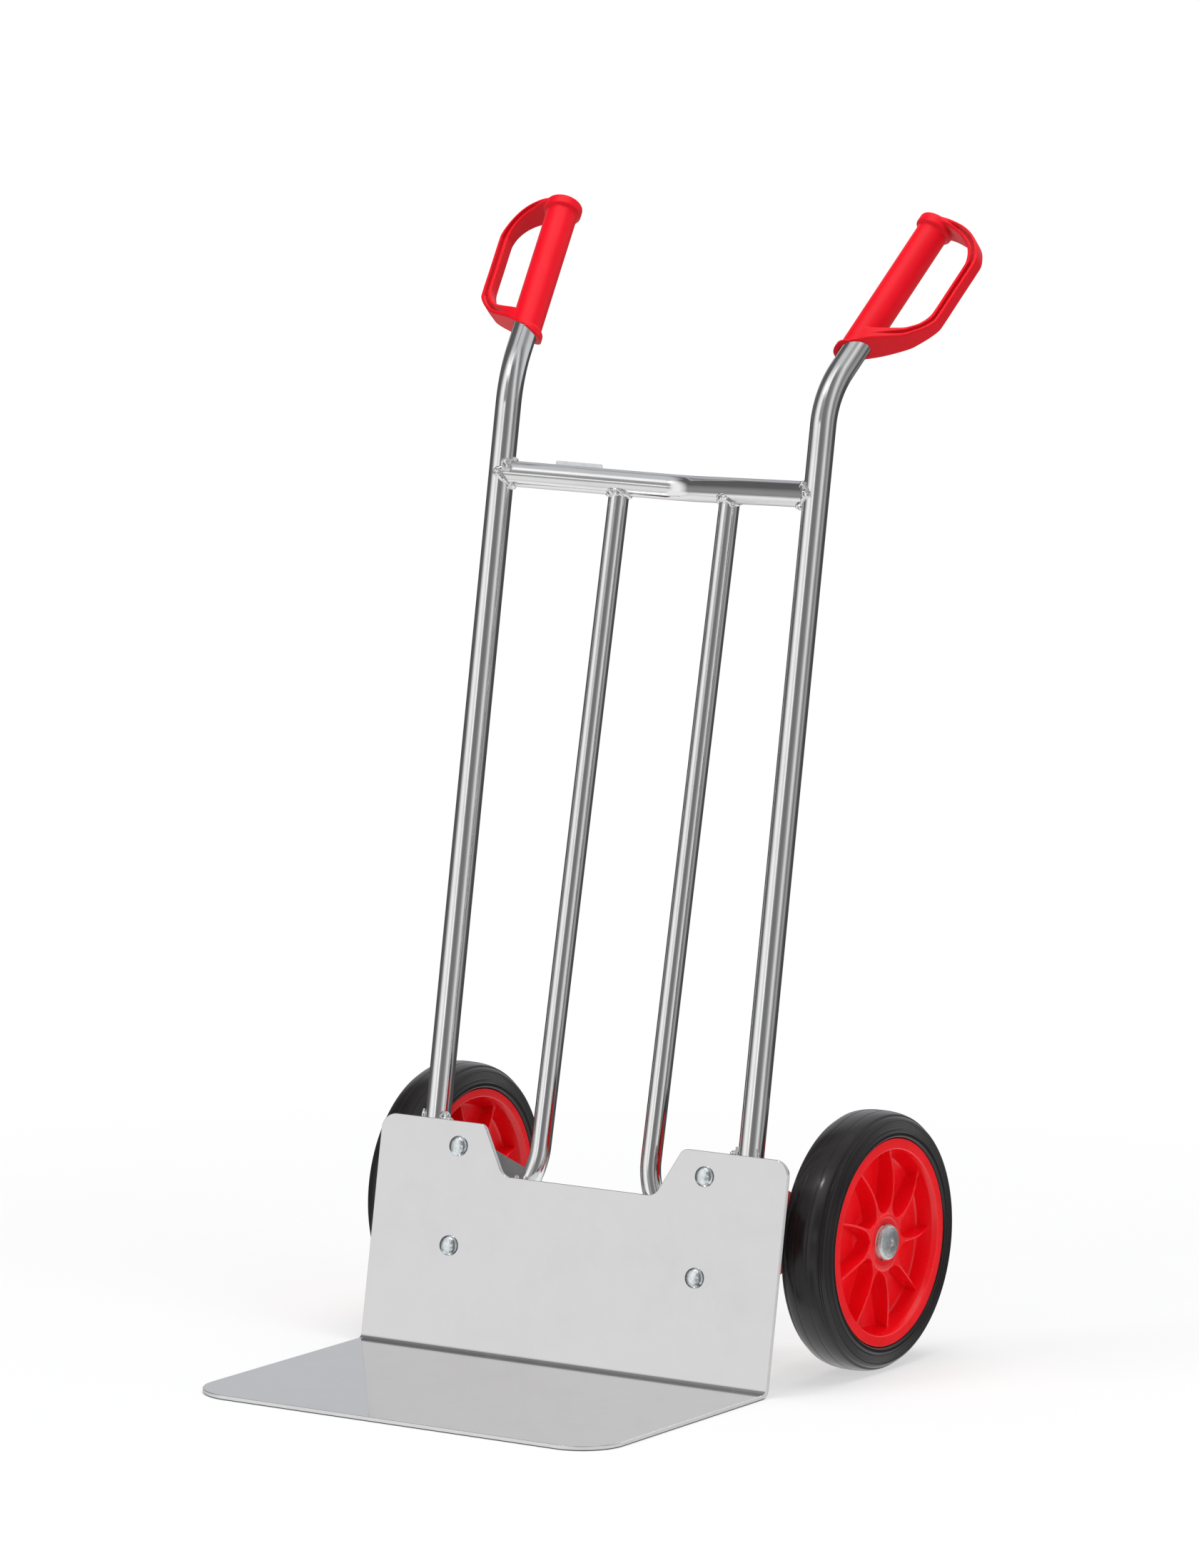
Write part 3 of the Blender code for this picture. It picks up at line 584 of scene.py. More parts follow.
for k, (loop, centre) in enumerate(zip(cross_ends, cross_centres)):
    bead(welds, loop, centre, 0.0034, 11 + k, ripples=20)
    inside = 1 if k == 0 else -1
    face = min(loop, key=lambda p: p.y)
    high, low = max(loop, key=lambda p: p.z - p.y * 0.8), min(loop, key=lambda p: p.z + p.y * 0.6)
    blob(welds, face + Vector((0.0003 * inside, -0.0010, 0.0022)), 0.0045, 51 + k)
    blob(welds, high + Vector((0.0016 * inside, -0.0004, 0.0006)), 0.0058 if k == 0 else 0.0040, 55 + k, crater=0.08, squash=(1, 0.8, 1.25))
    blob(welds, low + Vector((0.0022 * inside, -0.0003, -0.0004)), 0.0044, 58 + k, facing=(0.5 * inside, -1, -0.3), squash=(1.3, 0.9, 0.9))

# short beads where the uprights stand behind the plate's top edge
for name, side in SIDES:
    for edge in (-1, 1):
        line = [slope(side * UPRIGHT_X + edge * 0.0112, 0.180 + 0.0475 * k / 40, 0.0092) for k in range(41)]
        bead(welds, line, (edge, -0.7, 0), 0.0030, 20 + side + edge * 3, closed=False, ripples=12)
blob(welds, slope(-UPRIGHT_X + 0.0132, 0.2222, 0.0098), 0.0052, 71, crater=0.22)
blob(welds, slope(-UPRIGHT_X + 0.0180, 0.2196, 0.0090), 0.0034, 72, crater=0.05, squash=(1.5, 1, 0.8))
blob(welds, slope(UPRIGHT_X - 0.0140, 0.2200, 0.0090), 0.0036, 73, crater=0.10, squash=(1.1, 1, 1.1))
blob(welds, slope(-0.0745, 0.1722, 0.0062), 0.0024, 74, crater=0.10)
finished("weld_beads", welds, WELD, "frame", "polished_aluminium", angle=70)

# ---- toe plate ------------------------------------------------------------------------------
fold = pi / 2 - LEAN
reach = BEND_IN * tan(fold / 2)
inside, outside = [], []
for k in range(25):
    dy, dz = sin(fold * k / 24), -cos(fold * k / 24)
    inside.append((-reach + BEND_IN * dy, SHEET + BEND_IN + BEND_IN * dz))
    outside.append((-reach + (BEND_IN + SHEET) * dy, SHEET + BEND_IN + (BEND_IN + SHEET) * dz))
tops = [slope(0, EAR_TOP, n) - SHIFT for n in (SHEET, 0)]
loop = [(-TOE_DEPTH, 0.0)] + outside + [(p.y, p.z) for p in tops] + inside[::-1] + [(-TOE_DEPTH, SHEET)]
sheet = working(prism(loop, -PLATE_HALF, PLATE_HALF), Matrix.Translation(SHIFT) @ YZ_TO_X)
ear = [(-0.30, 0.12), (-PLATE_HALF, 0.12), (-PLATE_HALF, EAR_TOP), (-0.1135, EAR_TOP), (-0.0868, NOTCH),
       (0.0868, NOTCH), (0.1135, EAR_TOP), (PLATE_HALF, EAR_TOP), (PLATE_HALF, 0.12), (0.30, 0.12), (0.30, 0.26), (-0.30, 0.26)]
ears = working(prism(rounded(ear, [0, 0, 0.016, 0.010, 0.014, 0.014, 0.010, 0.016, 0, 0, 0, 0], 14), -0.02, 0.02), Matrix.Translation(ORIGIN) @ SLOPE_BASIS)
toe = [(-0.30, -0.20), (-PLATE_HALF, -0.20), (-PLATE_HALF, -TOE_DEPTH), (PLATE_HALF, -TOE_DEPTH), (PLATE_HALF, -0.20),
       (0.30, -0.20), (0.30, -0.35), (-0.30, -0.35)]
toes = working(prism(rounded(toe, [0, 0, TOE_CORNER, TOE_CORNER, 0, 0, 0, 0], 20), -0.02, 0.02), Matrix.Translation(SHIFT))
holes = []
for s in (-1, 1):
    for t in BOLT_T:
        hole = bmesh.new()
        bmesh.ops.create_cone(hole, cap_ends=True, segments=32, radius1=0.0044, radius2=0.0044, depth=0.03)
        holes.append(working(hole, Matrix.Translation(slope(s * BOLT_X, t, 0.005)) @ SLOPE_BASIS))
for cutter in (ears, toes, *holes):
    boolean(sheet, cutter)
softened(sheet, 0.0006, 3)
placed("bent_toe_plate", evaluated(sheet, ears, toes, *holes), PLATE, "frame", "sheet_aluminium", "toe_plate")

# ---- bolts, washers and nuts ------------------------------------------------------------------
for name, side in SIDES:
    for level, t in zip(("lower", "upper"), BOLT_T):
        tag = f"{name}_{level}"
        at = Matrix.Translation(slope(side * BOLT_X, t)) @ SLOPE_BASIS
        # mushroom head with a small rolled edge, neck and shank
        head = [(-0.0046 - GAP, 0.0)] + [(-0.0014 - 0.0032 * cos(a * pi / 24) - GAP, 0.0096 * sin(a * pi / 24)) for a in range(1, 12)]
        head += [(-0.0011 - GAP, 0.0099), (-0.0006 - GAP, 0.0100), (-GAP, 0.0098), (-GAP, 0.0040), (0.0210, 0.0040), (0.0215, 0.0035), (0.0215, 0.0)]
        finished(f"mushroom_bolt_{tag}", lathe(bmesh.new(), head, 56, at, closed=False), ZINC, "frame", "zinc_steel", f"plate_bolt_{tag}", angle=40)
        back = FLANGE_N[1] + GAP
        ring = rounded([(back, 0.0043), (back, 0.0084), (back + 0.0016, 0.0084), (back + 0.0016, 0.0043)], [0.0002, 0.0004, 0.0005, 0.0003], 3)
        finished(f"flat_washer_{tag}", lathe(bmesh.new(), ring, 48, at), ZINC, "frame", "zinc_steel", f"plate_washer_{tag}")
        # hexagon nut: a hexagon cut back by a cone at both faces, bored through
        hexagon = bmesh.new()
        bmesh.ops.create_cone(hexagon, cap_ends=True, segments=6, radius1=0.0075, radius2=0.0075, depth=0.0065)
        nut_at = at @ Matrix.Translation((0, 0, back + 0.0016 + GAP + 0.00325))
        nut = working(hexagon, nut_at)
        turned = working(lathe(bmesh.new(), [(-0.00325, 0.0043), (-0.00325, 0.0066), (-0.0026, 0.0077), (0.0026, 0.0077), (0.00325, 0.0066), (0.00325, 0.0043)], 48, nut_at))
        boolean(nut, turned, "INTERSECT")
        softened(nut, 0.00015, 1, 50)
        placed(f"hex_nut_{tag}", evaluated(nut, turned), ZINC, "frame", "zinc_steel", f"plate_nut_{tag}")

# ---- axle brackets ------------------------------------------------------------------------------
front_low, front_top = (slope(0, t, FLANGE_N[0]) - SHIFT for t in (0.058, 0.2190))
web = [(front_low.y, front_low.z), (0.2010, 0.1080), (0.2010, 0.1415), (front_top.y, front_top.z)]
web = rounded(web, [0.004, 0.020, 0.018, 0.004], 16)
for name, side in SIDES:
    low, high = sorted((side * WEB_IN, side * WEB_OUT))
    body = working(prism(web, low, high), Matrix.Translation(SHIFT) @ YZ_TO_X)
    edge_in, edge_out = sorted((side * BRACKET_IN, side * (WEB_IN + 0.002)))
    corners = [(edge_in, 0.0600), (edge_out, 0.0600), (edge_out, 0.2180), (edge_in, 0.2180)]
    radii = [0.010, 0.0, 0.0, 0.010] if side > 0 else [0.0, 0.010, 0.010, 0.0]
    flange = working(prism(rounded(corners, radii, 12), *FLANGE_N), Matrix.Translation(ORIGIN) @ SLOPE_BASIS)
    boolean(body, flange, "UNION")
    used = [flange]
    hole = bmesh.new()
    bmesh.ops.create_cone(hole, cap_ends=True, segments=48, radius1=BORE, radius2=BORE, depth=0.04)
    used.append(working(hole, Matrix.Translation((side * WEB_IN, AXLE_Y + SHIFT.y, AXLE_Z)) @ Matrix.Rotation(pi / 2, 4, "Y")))
    boolean(body, used[-1])
    for t in BOLT_T:
        hole = bmesh.new()
        bmesh.ops.create_cone(hole, cap_ends=True, segments=32, radius1=0.0044, radius2=0.0044, depth=0.03)
        used.append(working(hole, Matrix.Translation(slope(side * BOLT_X, t, 0.005)) @ SLOPE_BASIS))
        boolean(body, used[-1])
    softened(body, 0.0005, 2)
    placed(f"folded_bracket_{name}", evaluated(body, *used), BRACKET, "frame", "bracket_sheet", f"axle_bracket_{name}")

# ---- axle line -------------------------------------------------------------------------------------
bar = [(-AXLE_HALF, 0.0), (-AXLE_HALF, 0.0088), (-AXLE_HALF + 0.0012, AXLE_R), (AXLE_HALF - 0.0012, AXLE_R), (AXLE_HALF, 0.0088), (AXLE_HALF, 0.0)]
finished("axle_bar", lathe(bmesh.new(), bar, 64, on_axle(1), closed=False), BAR, "frame", "turned_steel", "axle")


def ring_piece(name, side, inner, outer, start, end, material, body, slot, node, chamfer=0.0004):
    profile = rounded([(start, inner), (start, outer), (end, outer), (end, inner)], [chamfer * 0.5, chamfer, chamfer, chamfer * 0.5], 4)
    finished(name, lathe(bmesh.new(), profile, 72, on_axle(side)), material, body, slot, node)


for name, side in SIDES:
    ring_piece(f"spacer_tube_{name}", side, BORE, 0.0140, WEB_OUT + GAP, 0.2040, ZINC, "frame", "zinc_steel", f"axle_spacer_{name}", 0.0006)
    ring_piece(f"washer_inside_{name}", side, BORE, 0.0170, 0.2043, 0.2059, ZINC, "frame", "zinc_steel", f"inner_washer_{name}")
    ring_piece(f"washer_outside_{name}", side, BORE, 0.0170, 0.2576, 0.2588, ZINC, "frame", "zinc_steel", f"outer_washer_{name}")
    for where, flange_at, sleeve_to, out in (("inner", 0.2082, 0.2315, -1), ("outer", 0.2553, 0.2340, 1)):
        face = flange_at + out * 0.0020
        profile = rounded([(face, BORE), (face, 0.0165), (flange_at, 0.0165), (flange_at, 0.0127), (sleeve_to, 0.0127), (sleeve_to, BORE)],
                          [0.0004, 0.0006, 0.0003, 0, 0.0005, 0.0003], 4)
        finished(f"nylon_bush_{where}_{name}", lathe(bmesh.new(), profile, 72, on_axle(side)), NYLON, f"wheel_{name}", "white_nylon", f"hub_bush_{where}_{name}")
    # pressed cap: shallow dome with a soft rolled rim and a small dimple in its crown
    base, crown = 0.2591, 0.2650
    dome = [(crown - 0.0010, 0.0), (crown - 0.0009, 0.0016), (crown - 0.0005, 0.0026), (crown - 0.0002, 0.0036)]
    dome += [(crown - 0.0002 - 0.0012 * (a / 8) ** 2.4, 0.0036 + 0.0100 * a / 8) for a in range(1, 9)]
    dome += [(crown - 0.0014 - 0.0034 * (1 - cos(a * pi / 12)), 0.0136 + 0.0036 * sin(a * pi / 12)) for a in range(1, 6)]
    dome += [(base + 0.0010, 0.0174), (base + 0.0003, 0.0176), (base, 0.0173), (base, BORE), (AXLE_HALF + GAP, BORE), (AXLE_HALF + GAP, 0.0)]
    finished(f"push_cap_{name}", lathe(bmesh.new(), dome, 96, on_axle(side), closed=False), CAP, "frame", "zinc_steel", f"axle_cap_{name}", angle=50)

# ---- wheels -------------------------------------------------------------------------------------------
HALF = 0.0243
RIBS = 9
rim_half = [  # from the outer lip's crown inwards, for one face; x is the distance from the wheel's middle
    (HALF, 0.0989), (HALF, 0.0898), (0.0190, 0.0877), (0.0030, 0.0842), (0.0026, 0.0800), (0.0025, 0.0340)]
rim_radii = [0.0010, 0.0016, 0.0060, 0.0030, 0.004, 0.004]


def rim_profile():
    out_face = [(W + x, r) for x, r in rim_half] + [(W + 0.0045, 0.0287), (W + 0.0198, 0.0284), (W + 0.0207, 0.0243)]
    in_face = [(W - 0.0045, 0.0232)] + [(W - x, r) for x, r in rim_half[:2:-1]] + [(W - 0.0190, 0.0892), (W - HALF, 0.0922), (W - HALF, 0.0989)]
    barrel = [(W - HALF, 0.1000), (W - HALF + 0.0030, 0.1000), (W - HALF + 0.0036, 0.0955), (W + HALF - 0.0036, 0.0955), (W + HALF - 0.0030, 0.1000), (W + HALF, 0.1000)]
    points = out_face + [(0.2570, 0.0235), (0.2570, 0.0178), (0.2550, 0.0178), (0.2550, 0.0130), (0.2085, 0.0130), (0.2085, 0.0225)] + in_face + barrel
    radii = rim_radii + [0.0010, 0.0008, 0.0010, 0.0013, 0.0007, 0.0004, 0.0006, 0.0006, 0.0012, 0.0030] + rim_radii[::-1] + [0.0008, 0.0006, 0.001, 0.001, 0.0006, 0.0008]
    return rounded(points, radii, 5)


def rib(bm, around, out, side):
    """A blade from the hub to the barrel: it spreads into its neighbours at the hub, and leans and bows a little."""
    stations = 40
    rows = []
    for i in range(stations + 1):
        f = (i / stations) ** 1.35
        r = 0.0205 + (0.0880 - 0.0205) * f
        front = 0.0164 + 0.0030 * sin(pi * min(1.0, f * 1.10)) - 0.0034 * f ** 2.5     # the front edge's height over the web
        near, far = math_exp(-max(0.0, r - 0.0268) / 0.0044), max(0.0, 1 - (0.0880 - r) / 0.009)
        half = 0.00105 + 0.0084 * near + 0.0017 * far ** 2
        across = -(r * sin(radians(5.0) * (1 - f)) + 0.0014 * sin(pi * f)) * (1 if out > 0 else -1)
        row = []
        for height, extra, least in ((0.0, 0.00110, 0), (0.0009, 0.00055, 0), (front * 0.35, 0.00034, 0), (front - 0.0009, 0.00006, 0), (front - 0.0003, -0.00016, 0.0006), (front, -0.00055, 0.0004)):
            row.append((height, max(half + extra, least)))
        left = [(h, across - w) for h, w in row]
        right = [(h, across + w) for h, w in row[::-1]]
        rows.append([bm.verts.new((side * (W + out * (0.0020 + h)), r, z)) for h, z in left + right])
    count = len(rows[0])
    for one, two in zip(rows, rows[1:]):
        for k in range(count):
            j = (k + 1) % count
            bm.faces.new((one[k], one[j], two[j], two[k]))
    bm.faces.new(rows[0])
    bm.faces.new(rows[-1][::-1])
    verts = [v for row in rows for v in row]
    bmesh.ops.transform(bm, matrix=Matrix.Translation((0, AXLE_Y + SHIFT.y, AXLE_Z)) @ Matrix.Rotation(around, 4, "X"), verts=verts)


tyre_half = [  # distance from the middle, radius: crown, tread line, shoulder groove, shoulder, fine rings, bead by the rim
    (0.0, 0.1250), (0.0064, 0.12490), (0.0068, 0.12455), (0.0075, 0.12450), (0.0079, 0.12475), (0.0130, 0.1242), (0.0184, 0.1226), (0.0188, 0.1206), (0.0201, 0.1198), (0.0207, 0.1206),
    (0.0230, 0.1193), (0.0245, 0.1166), (0.0239, 0.1155),
    (0.0246, 0.1147), (0.0243, 0.1140), (0.0249, 0.1133), (0.0246, 0.1126), (0.0251, 0.1119), (0.0248, 0.1112), (0.0253, 0.1105), (0.0249, 0.1098), (0.0252, 0.1090),
    (0.0244, 0.1080), (0.0248, 0.1070), (0.0260, 0.1058), (0.0260, 0.1022), (0.0241, 0.1008), (0.0208, 0.1004), (0.0203, 0.0960)]
tyre_radii = [0, 0.0010, 0.0003, 0.0003, 0.0010, 0.030, 0.0012, 0.0006, 0.0006, 0.0012,
              0.0040, 0.0016, 0.0004,
              0.0003, 0.0003, 0.0003, 0.0003, 0.0003, 0.0003, 0.0003, 0.0003, 0.0004,
              0.0008, 0.0008, 0.0016, 0.0019, 0.0005, 0.0002, 0.0003]
for name, side in SIDES:
    wheel = f"wheel_{name}"
    bm = lathe(bmesh.new(), rim_profile(), 168, on_axle(side))
    for out, phase in ((1, radians(-0.5)), (-1, radians(18))):
        for k in range(RIBS):
            rib(bm, 2 * pi * k / RIBS + phase, out, side)
        # moulding gates: small raised discs on the web between some ribs
        for k in range(3):
            spot = on_axle(side) @ Matrix.Rotation(2 * pi * k / 3 + radians(28), 4, "Z") @ Matrix.Translation((0.058, 0, W)) @ Matrix.Rotation(0 if out > 0 else pi, 4, "X")
            lathe(bm, [(0.0020, 0.0026), (0.0031, 0.0025), (0.0034, 0.0020), (0.0033, 0.0009), (0.0037, 0.0005), (0.0037, 0.0)][::-1] + [(0.0020, 0.0)], 20, spot, closed=False)
    finished(f"wheel_rim_{name}", bm, RIM, wheel, "red_rim_plastic", f"rim_{name}", angle=38)
    points = [(W + h, r) for h, r in tyre_half] + [(W - h, r) for h, r in tyre_half[:0:-1]]
    profile = rounded(points, tyre_radii + tyre_radii[:0:-1], 5)
    finished(f"solid_tyre_{name}", lathe(bmesh.new(), profile, 192, on_axle(side)), RUBBER, wheel, "black_rubber", f"tyre_{name}", angle=50)

# ---- grips ----------------------------------------------------------------------------------------------
guard = [  # outer point (out, up), inner point (out, up), front and back edge, in millimetres
    (0.0, 166.4, 0.0, 160.5, 14.6, -14.6), (17.0, 167.1, 16.0, 161.0, 13.5, -16.5), (33.0, 166.0, 27.0, 159.0, 9.0, -17.0), (44.2, 162.0, 37.0, 155.5, 5.5, -16.6),
    (52.5, 155.6, 44.5, 150.0, 2.8, -15.8), (58.4, 148.2, 50.0, 142.5, 1.0, -15.0), (62.9, 139.5, 53.2, 134.0, -0.4, -14.4), (64.3, 130.0, 54.0, 126.0, -1.0, -14.0),
    (64.3, 96.0, 54.0, 98.0, -1.0, -14.0), (64.3, 62.0, 54.0, 69.5, -1.0, -14.0), (62.4, 54.5, 52.6, 60.5, -0.4, -14.4), (57.5, 46.5, 48.8, 52.0, 1.0, -15.0), (51.2, 39.0, 44.0, 46.0, 3.0, -15.8),
    (44.0, 31.5, 38.5, 41.0, 5.0, -16.4), (30.0, 22.6, 27.5, 34.5, 9.5, -17.0), (15.0, 14.1, 14.0, 28.0, 13.8, -16.8), (0.0, 5.5, 0.0, 23.0, 14.6, -14.6)]


def between(rows, f):
    """A smooth curve through rows of numbers, at position f counted in rows."""
    i = min(int(f), len(rows) - 2)
    u = f - i
    a, b, c, d = (rows[min(max(i + k, 0), len(rows) - 1)] for k in (-1, 0, 1, 2))
    return [0.5 * (2 * q + (r - p) * u + (2 * p - 5 * q + 4 * r - s) * u * u + (3 * q - p - 3 * r + s) * u ** 3) for p, q, r, s in zip(a, b, c, d)]


def swept_rings(first, last, stations, section):
    """Rings along the guard; section gives (across, front) points from the guard's thickness, its depth and the way along it."""
    rings = []
    for i in range(stations + 1):
        way = i / stations
        ao, so, ai, si, bf, bb = between(guard, first + (last - first) * way)
        thick = sqrt((ao - ai) ** 2 + (so - si) ** 2)
        rings.append([((ao + (ai - ao) * p / thick) / 1000, (bf + q) / 1000, (so + (si - so) * p / thick) / 1000) for p, q in section(thick, bf - bb, way)])
    return rings


def lofted(rings):
    bm = bmesh.new()
    rows = [[bm.verts.new(p) for p in ring] for ring in rings]
    count = len(rows[0])
    for one, two in zip(rows, rows[1:]):
        for k in range(count):
            j = (k + 1) % count
            bm.faces.new((one[k], one[j], two[j], two[k]))
    bm.faces.new(rows[0])
    bm.faces.new(rows[-1][::-1])
    return bm


def band_section(thick, wide, way):
    r = min(1.3, thick * 0.2)
    return rounded([(0, -wide), (0, 0), (thick, 0), (thick, -wide)], [r] * 4, 4)


def groove_section(thick, wide, way):
    """The groove along the guard's front, with rounded lips; it narrows to nothing at both ends."""
    ease = min(1.0, way / 0.07, (1 - way) / 0.12)
    ease = ease * ease * (3 - 2 * ease)
    half, deep, lip = 0.10 + 1.95 * ease, 0.15 + 3.8 * ease, 0.15 + 0.35 * ease
    middle = thick * 0.48
    turn = [radians(a) for a in (18, 36, 54, 72, 90)]
    one = [(half + lip - lip * sin(a), -lip + lip * cos(a)) for a in turn]
    side = [(half + lip - lip * sin(turn[0]), 2.0)] + one + [(half * 0.80, -deep)]
    return [(middle - p, q) for p, q in side] + [(middle + p, q) for p, q in side[::-1]]


def grip_basis():
    out = Vector((1, 0, 0))
    out = (out - HANDLE_DIR * out.dot(HANDLE_DIR)).normalized()
    front = HANDLE_DIR.cross(out).normalized()
    front = front if front.y < 0 else -front
    return Matrix(((out.x, front.x, HANDLE_DIR.x, grip_base.x), (out.y, front.y, HANDLE_DIR.y, grip_base.y), (out.z, front.z, HANDLE_DIR.z, grip_base.z), (0, 0, 0, 1)))


def grip_mesh():
    """One grip, in its own frame: x out, y to the front, z up the handle."""
    loop = lofted(swept_rings(0, len(guard) - 1, 96, band_section))
    profile = [(-0.0150, 0.0), (-0.0150, 0.0186), (0.0040, 0.0184), (0.0058, 0.0155), (0.1548, 0.0155), (0.1562, 0.0184), (0.1570, 0.0186), (0.1646, 0.0186),
               (0.1661, 0.0180), (0.1670, 0.0165), (0.1672, 0.0140), (0.1672, 0.0)]
    sleeve = working(lathe(bmesh.new(), profile, 96, Matrix.Identity(4), closed=False))
    guard_obj = working(loop)
    boolean(sleeve, guard_obj, "UNION")
    bore = bmesh.new()
    bmesh.ops.create_cone(bore, cap_ends=True, segments=96, radius1=TUBE_R + 0.0002, radius2=TUBE_R + 0.0002, depth=0.1800)
    bore = working(bore, Matrix.Translation((0, 0, 0.0700)))
    slant = bmesh.new()
    bmesh.ops.create_cube(slant, size=1.0, matrix=Matrix.Translation((0, 0, 0.0055)) @ Matrix.Rotation(-atan(0.57), 4, "Y") @ Matrix.Translation((0, 0, -0.025)) @ Matrix.Diagonal((0.090, 0.080, 0.050, 1)))
    slant = working(slant)
    boolean(sleeve, slant)
    boolean(sleeve, bore)
    moulded = sleeve.modifiers.new("moulded", "REMESH")
    moulded.mode, moulded.voxel_size, moulded.use_smooth_shade = "VOXEL", 0.00070, True
    eased = sleeve.modifiers.new("eased", "SMOOTH")
    eased.factor, eased.iterations = 0.5, 6
    groove = working(lofted(swept_rings(1.05, 14.9, 150, groove_section)))
    boolean(sleeve, groove)
    return evaluated(sleeve, guard_obj, bore, slant, groove)


grip_source = grip_mesh()
grip_source.transform(grip_basis())
for name, side in SIDES:
    mesh = grip_source.copy()
    mesh.name = f"handle_grip_{name}"
    if side < 0:
        mesh.transform(Matrix.Diagonal((-1, 1, 1, 1)))
        mesh.flip_normals()
    mesh.shade_smooth()
    mesh.set_sharp_from_angle(angle=radians(42))
    placed(f"handle_grip_{name}", mesh, GRIP, "frame", "red_grip_plastic", f"grip_{name}")
    bpy.data.objects[f"handle_grip_{name}"].visible_glossy = False
bpy.data.meshes.remove(grip_source)

# ---- blank type plate -------------------------------------------------------------------------------------
half_turn = atan(CROSS_BACK / UPRIGHT_X)
outline = rounded([(-0.026, 0.0), (0.026, 0.0), (0.0235, 0.0250), (-0.0235, 0.0250)], [0.0012] * 4, 6)
where = slope(-0.1085, CROSS_T - 0.0080, UPRIGHT_N + CROSS_BACK * (1 - 0.1085 / UPRIGHT_X))
turn = Matrix.Rotation(half_turn, 4, UP)
behind = (turn @ BACK) * (TUBE_R + GAP)
tag = working(prism(outline, 0.0, 0.0010), Matrix.Translation(where + behind) @ turn @ SLOPE_BASIS)
softened(tag, 0.00025, 2)
placed("blank_type_plate", evaluated(tag), LABEL, "frame", "blank_label", "type_plate")

# ---- studio ---------------------------------------------------------------------------------------------------
floor_mesh = bpy.data.meshes.new("floor")
bm = bmesh.new()
bmesh.ops.create_grid(bm, x_segments=1, y_segments=1, size=60)
bm.to_mesh(floor_mesh)
bm.free()
floor = bpy.data.objects.new("floor", floor_mesh)
scene.collection.objects.link(floor)
floor.location = (0, 0, -0.0002)
paper = principled("white_floor", 0.0, specular=0.0)
paper.shader.inputs["Base Color"].default_value = (0.90, 0.90, 0.90, 1)
paper.shader.inputs["Roughness"].default_value = 0.9
# The sheet glows towards its edges, so the horizon fades out and only the middle holds shadows.
reach_out = paper.add("VectorMath", operation="LENGTH")
paper.link(paper.coords(), reach_out.inputs[0])
far = paper.add("MapRange", interpolation_type="SMOOTHSTEP")
far.inputs["From Min"].default_value, far.inputs["From Max"].default_value = 0.55, 1.9
paper.link(reach_out.outputs["Value"], far.inputs["Value"])
paper.link(paper.ramp(far.outputs["Result"], [(0.0, (0.30, 0.30, 0.30)), (1.0, (0.0, 0.0, 0.0))]), paper.shader.inputs["Base Color"])
paper.link(paper.span(far.outputs["Result"], 0.0, 1.0, 0.56, 1.02), paper.shader.inputs["Emission Strength"])
paper.shader.inputs["Emission Color"].default_value = (1, 1, 1, 1)
floor_mesh.materials.append(paper.material)
floor.visible_glossy = False

world = bpy.data.worlds.new("studio")
scene.world = world
world.use_nodes = True
tree = world.node_tree
tree.nodes.clear()


def wnode(kind, **settings):
    node = tree.nodes.new("ShaderNode" + kind)
    for key, value in settings.items():
        setattr(node, key, value)
    return node


def wmath(operation, a, b=None):
    node = wnode("Math", operation=operation)
    for socket, value in zip(node.inputs, (a, b)):
        if value is None:
            continue
        if isinstance(value, (int, float)):
            socket.default_value = value
        else:
            tree.links.new(value, socket)
    return node.outputs[0]


def wspan(value, low, high):
    node = wnode("MapRange", interpolation_type="SMOOTHSTEP")
    node.inputs["From Min"].default_value, node.inputs["From Max"].default_value = low, high
    tree.links.new(value, node.inputs["Value"])
    return node.outputs["Result"]


def wmix(factor, one, two):
    node = wnode("Mix", data_type="RGBA")
    tree.links.new(factor, node.inputs["Factor"])
    for socket, value in ((node.inputs[6], one), (node.inputs[7], two)):
        if isinstance(value, tuple):
            socket.default_value = (*value, 1)
        else:
            tree.links.new(value, socket)
    return node.outputs[2]


# Light by compass direction (degrees from the load side towards +X) for the band round the horizon.
BAND = [(-180, 0.10), (-150, 0.105), (-72, 0.105), (-63, 0.26), (-49, 0.66), (-37, 0.90), (-23, 0.88), (-12, 0.66), (-3, 0.84), (2, 1.20), (7, 0.45), (13, 0.19),
        (27, 0.165), (39, 0.18), (48, 0.22), (57, 0.34), (64, 0.55), (74, 0.74), (85, 0.44), (97, 0.16), (110, 0.29), (122, 0.33), (134, 0.10), (154, 0.06), (180, 0.10)]
split = wnode("SeparateXYZ")
tree.links.new(wnode("TexCoord").outputs["Generated"], split.inputs[0])
x, y, z = split.outputs
compass = wmath("DIVIDE", wmath("ARCTAN2", x, wmath("MULTIPLY", y, -1.0)), 2 * pi)
ramp = wnode("ValToRGB")
stops = ramp.color_ramp.elements
while len(stops) < len(BAND):
    stops.new(0.5)
for stop, (azimuth, level) in zip(stops, BAND):
    stop.position = azimuth / 360 + 0.5
    stop.color = (level, level, level, 1)
tree.links.new(wmath("ADD", compass, 0.5), ramp.inputs["Fac"])
rise = wmath("ARCSINE", z)
behind_it = wspan(y, 0.30, 0.60)                              # the far side, behind the truck
low_back = wmix(wmath("MULTIPLY", behind_it, wspan(rise, radians(0.0), radians(5.0))), ramp.outputs["Color"], (0.60, 0.61, 0.63))
with_top = wmix(wspan(rise, radians(48), radians(70)), low_back, (0.52, 0.53, 0.54))
with_floor = wmix(wspan(wmath("MULTIPLY", rise, -1.0), radians(14), radians(30)), with_top, (0.85, 0.85, 0.85))
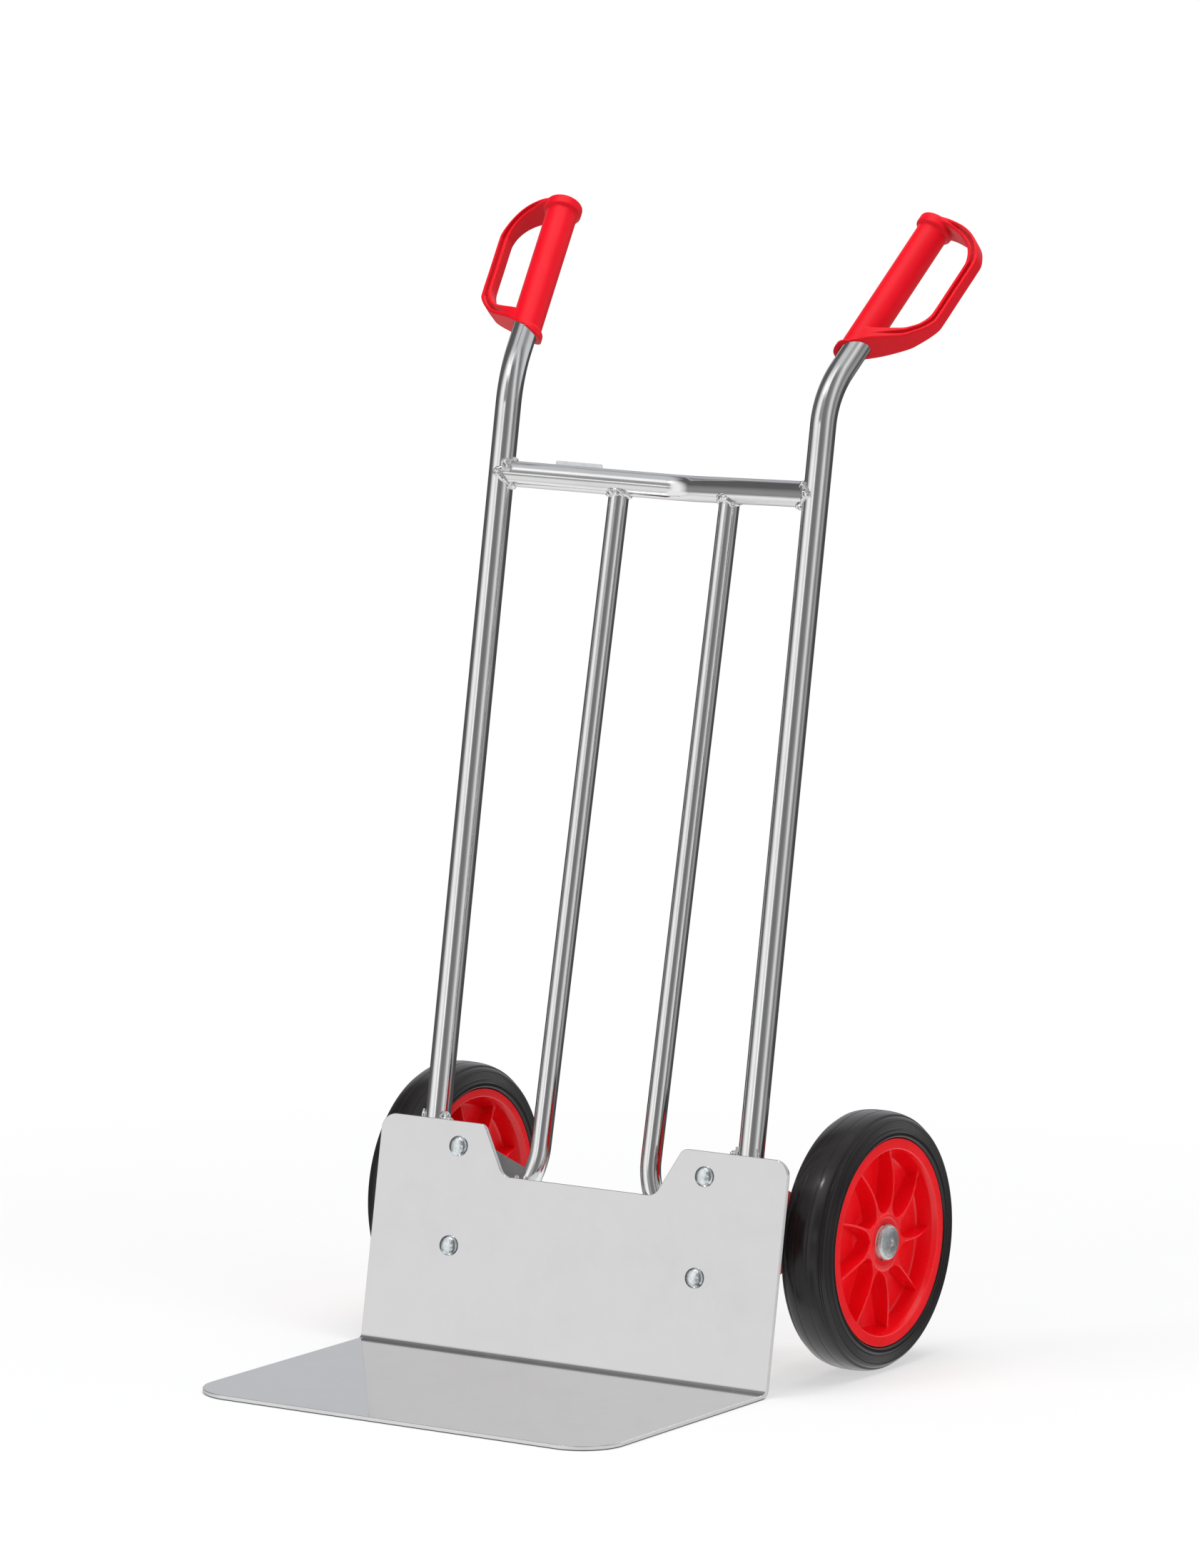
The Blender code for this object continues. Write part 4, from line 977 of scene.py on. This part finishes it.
# Straight ahead of the load side the light changes with height: a strip lamp at 10 degrees, dark panels above and
# below it, a soft box overhead and the pale floor.
HEIGHTS = [(-90, 0.50), (-50, 0.55), (-32, 0.74), (-10, 0.74), (-2, 0.32), (22, 0.29), (34, 0.33), (43, 0.95), (62, 1.0), (70, 0.55), (78, 0.10), (90, 0.10)]
column = wnode("ValToRGB")
marks = column.color_ramp.elements
while len(marks) < len(HEIGHTS):
    marks.new(0.5)
for mark, (height, level) in zip(marks, HEIGHTS):
    mark.position = height / 180 + 0.5
    mark.color = (level, level * 0.995, level, 1)
tree.links.new(wmath("ADD", wmath("DIVIDE", rise, pi), 0.5), column.inputs["Fac"])
ahead = wmath("MULTIPLY", wspan(compass, -18 / 360, -11 / 360), wspan(wmath("MULTIPLY", compass, -1.0), -13 / 360, -7 / 360))
off_strip = wspan(wmath("ABSOLUTE", wmath("SUBTRACT", rise, radians(10))), radians(2.5), radians(7))
with_column = wmix(wmath("MULTIPLY", ahead, off_strip), with_floor, column.outputs["Color"])
seen = wmix(wnode("LightPath").outputs["Is Camera Ray"], with_column, (1.0, 1.0, 1.0))
sky = wnode("Background")
tree.links.new(seen, sky.inputs["Color"])
tree.links.new(sky.outputs[0], wnode("OutputWorld").inputs["Surface"])


def lamp(name, place, aim, size, power, colour=(1, 1, 1), glossy=False):
    data = bpy.data.lights.new(name, "AREA")
    data.shape, data.size, data.energy, data.color = "SQUARE", size, power, colour
    obj = bpy.data.objects.new(name, data)
    obj.location = place
    obj.rotation_euler = (Vector(aim) - Vector(place)).to_track_quat("-Z", "Y").to_euler()
    obj.visible_glossy = glossy
    scene.collection.objects.link(obj)
    return obj


lamp("overhead", (0.2, 0.2, 4.0), (0, 0, 0.3), 3.2, 150)
lamp("key", (-3.0, -4.0, 2.8), (0, 0, 0.5), 2.2, 80)
lamp("side", (4.0, -1.0, 1.8), (0, 0, 0.4), 2.0, 46)
lamp("glint", (-0.93, -2.09, 3.37), (0.25, 0.22, 0.08), 0.36, 9, glossy=True)

camera_data = bpy.data.cameras.new("camera")
camera_data.sensor_fit = "AUTO"
camera_data.sensor_width = 36.0
camera_data.lens = 187.22
camera_data.clip_end = 300
camera = bpy.data.objects.new("camera", camera_data)
scene.collection.objects.link(camera)
forward = Vector((-0.54023, 0.83006, -0.13840)).normalized()
right = Vector((0.83812, 0.54548, 0.0)).normalized()
upward = right.cross(forward)
roll = radians(0.28326)
right, upward = right * cos(roll) + upward * sin(roll), -right * sin(roll) + upward * cos(roll)
place = Vector((4.1995, -6.4111, 1.6342))
camera.matrix_world = Matrix(((right.x, upward.x, -forward.x, place.x), (right.y, upward.y, -forward.y, place.y), (right.z, upward.z, -forward.z, place.z), (0, 0, 0, 1)))
scene.camera = camera
scene.view_settings.view_transform = "Standard"
scene.view_settings.look = "None"

bpy.context.view_layer.update()
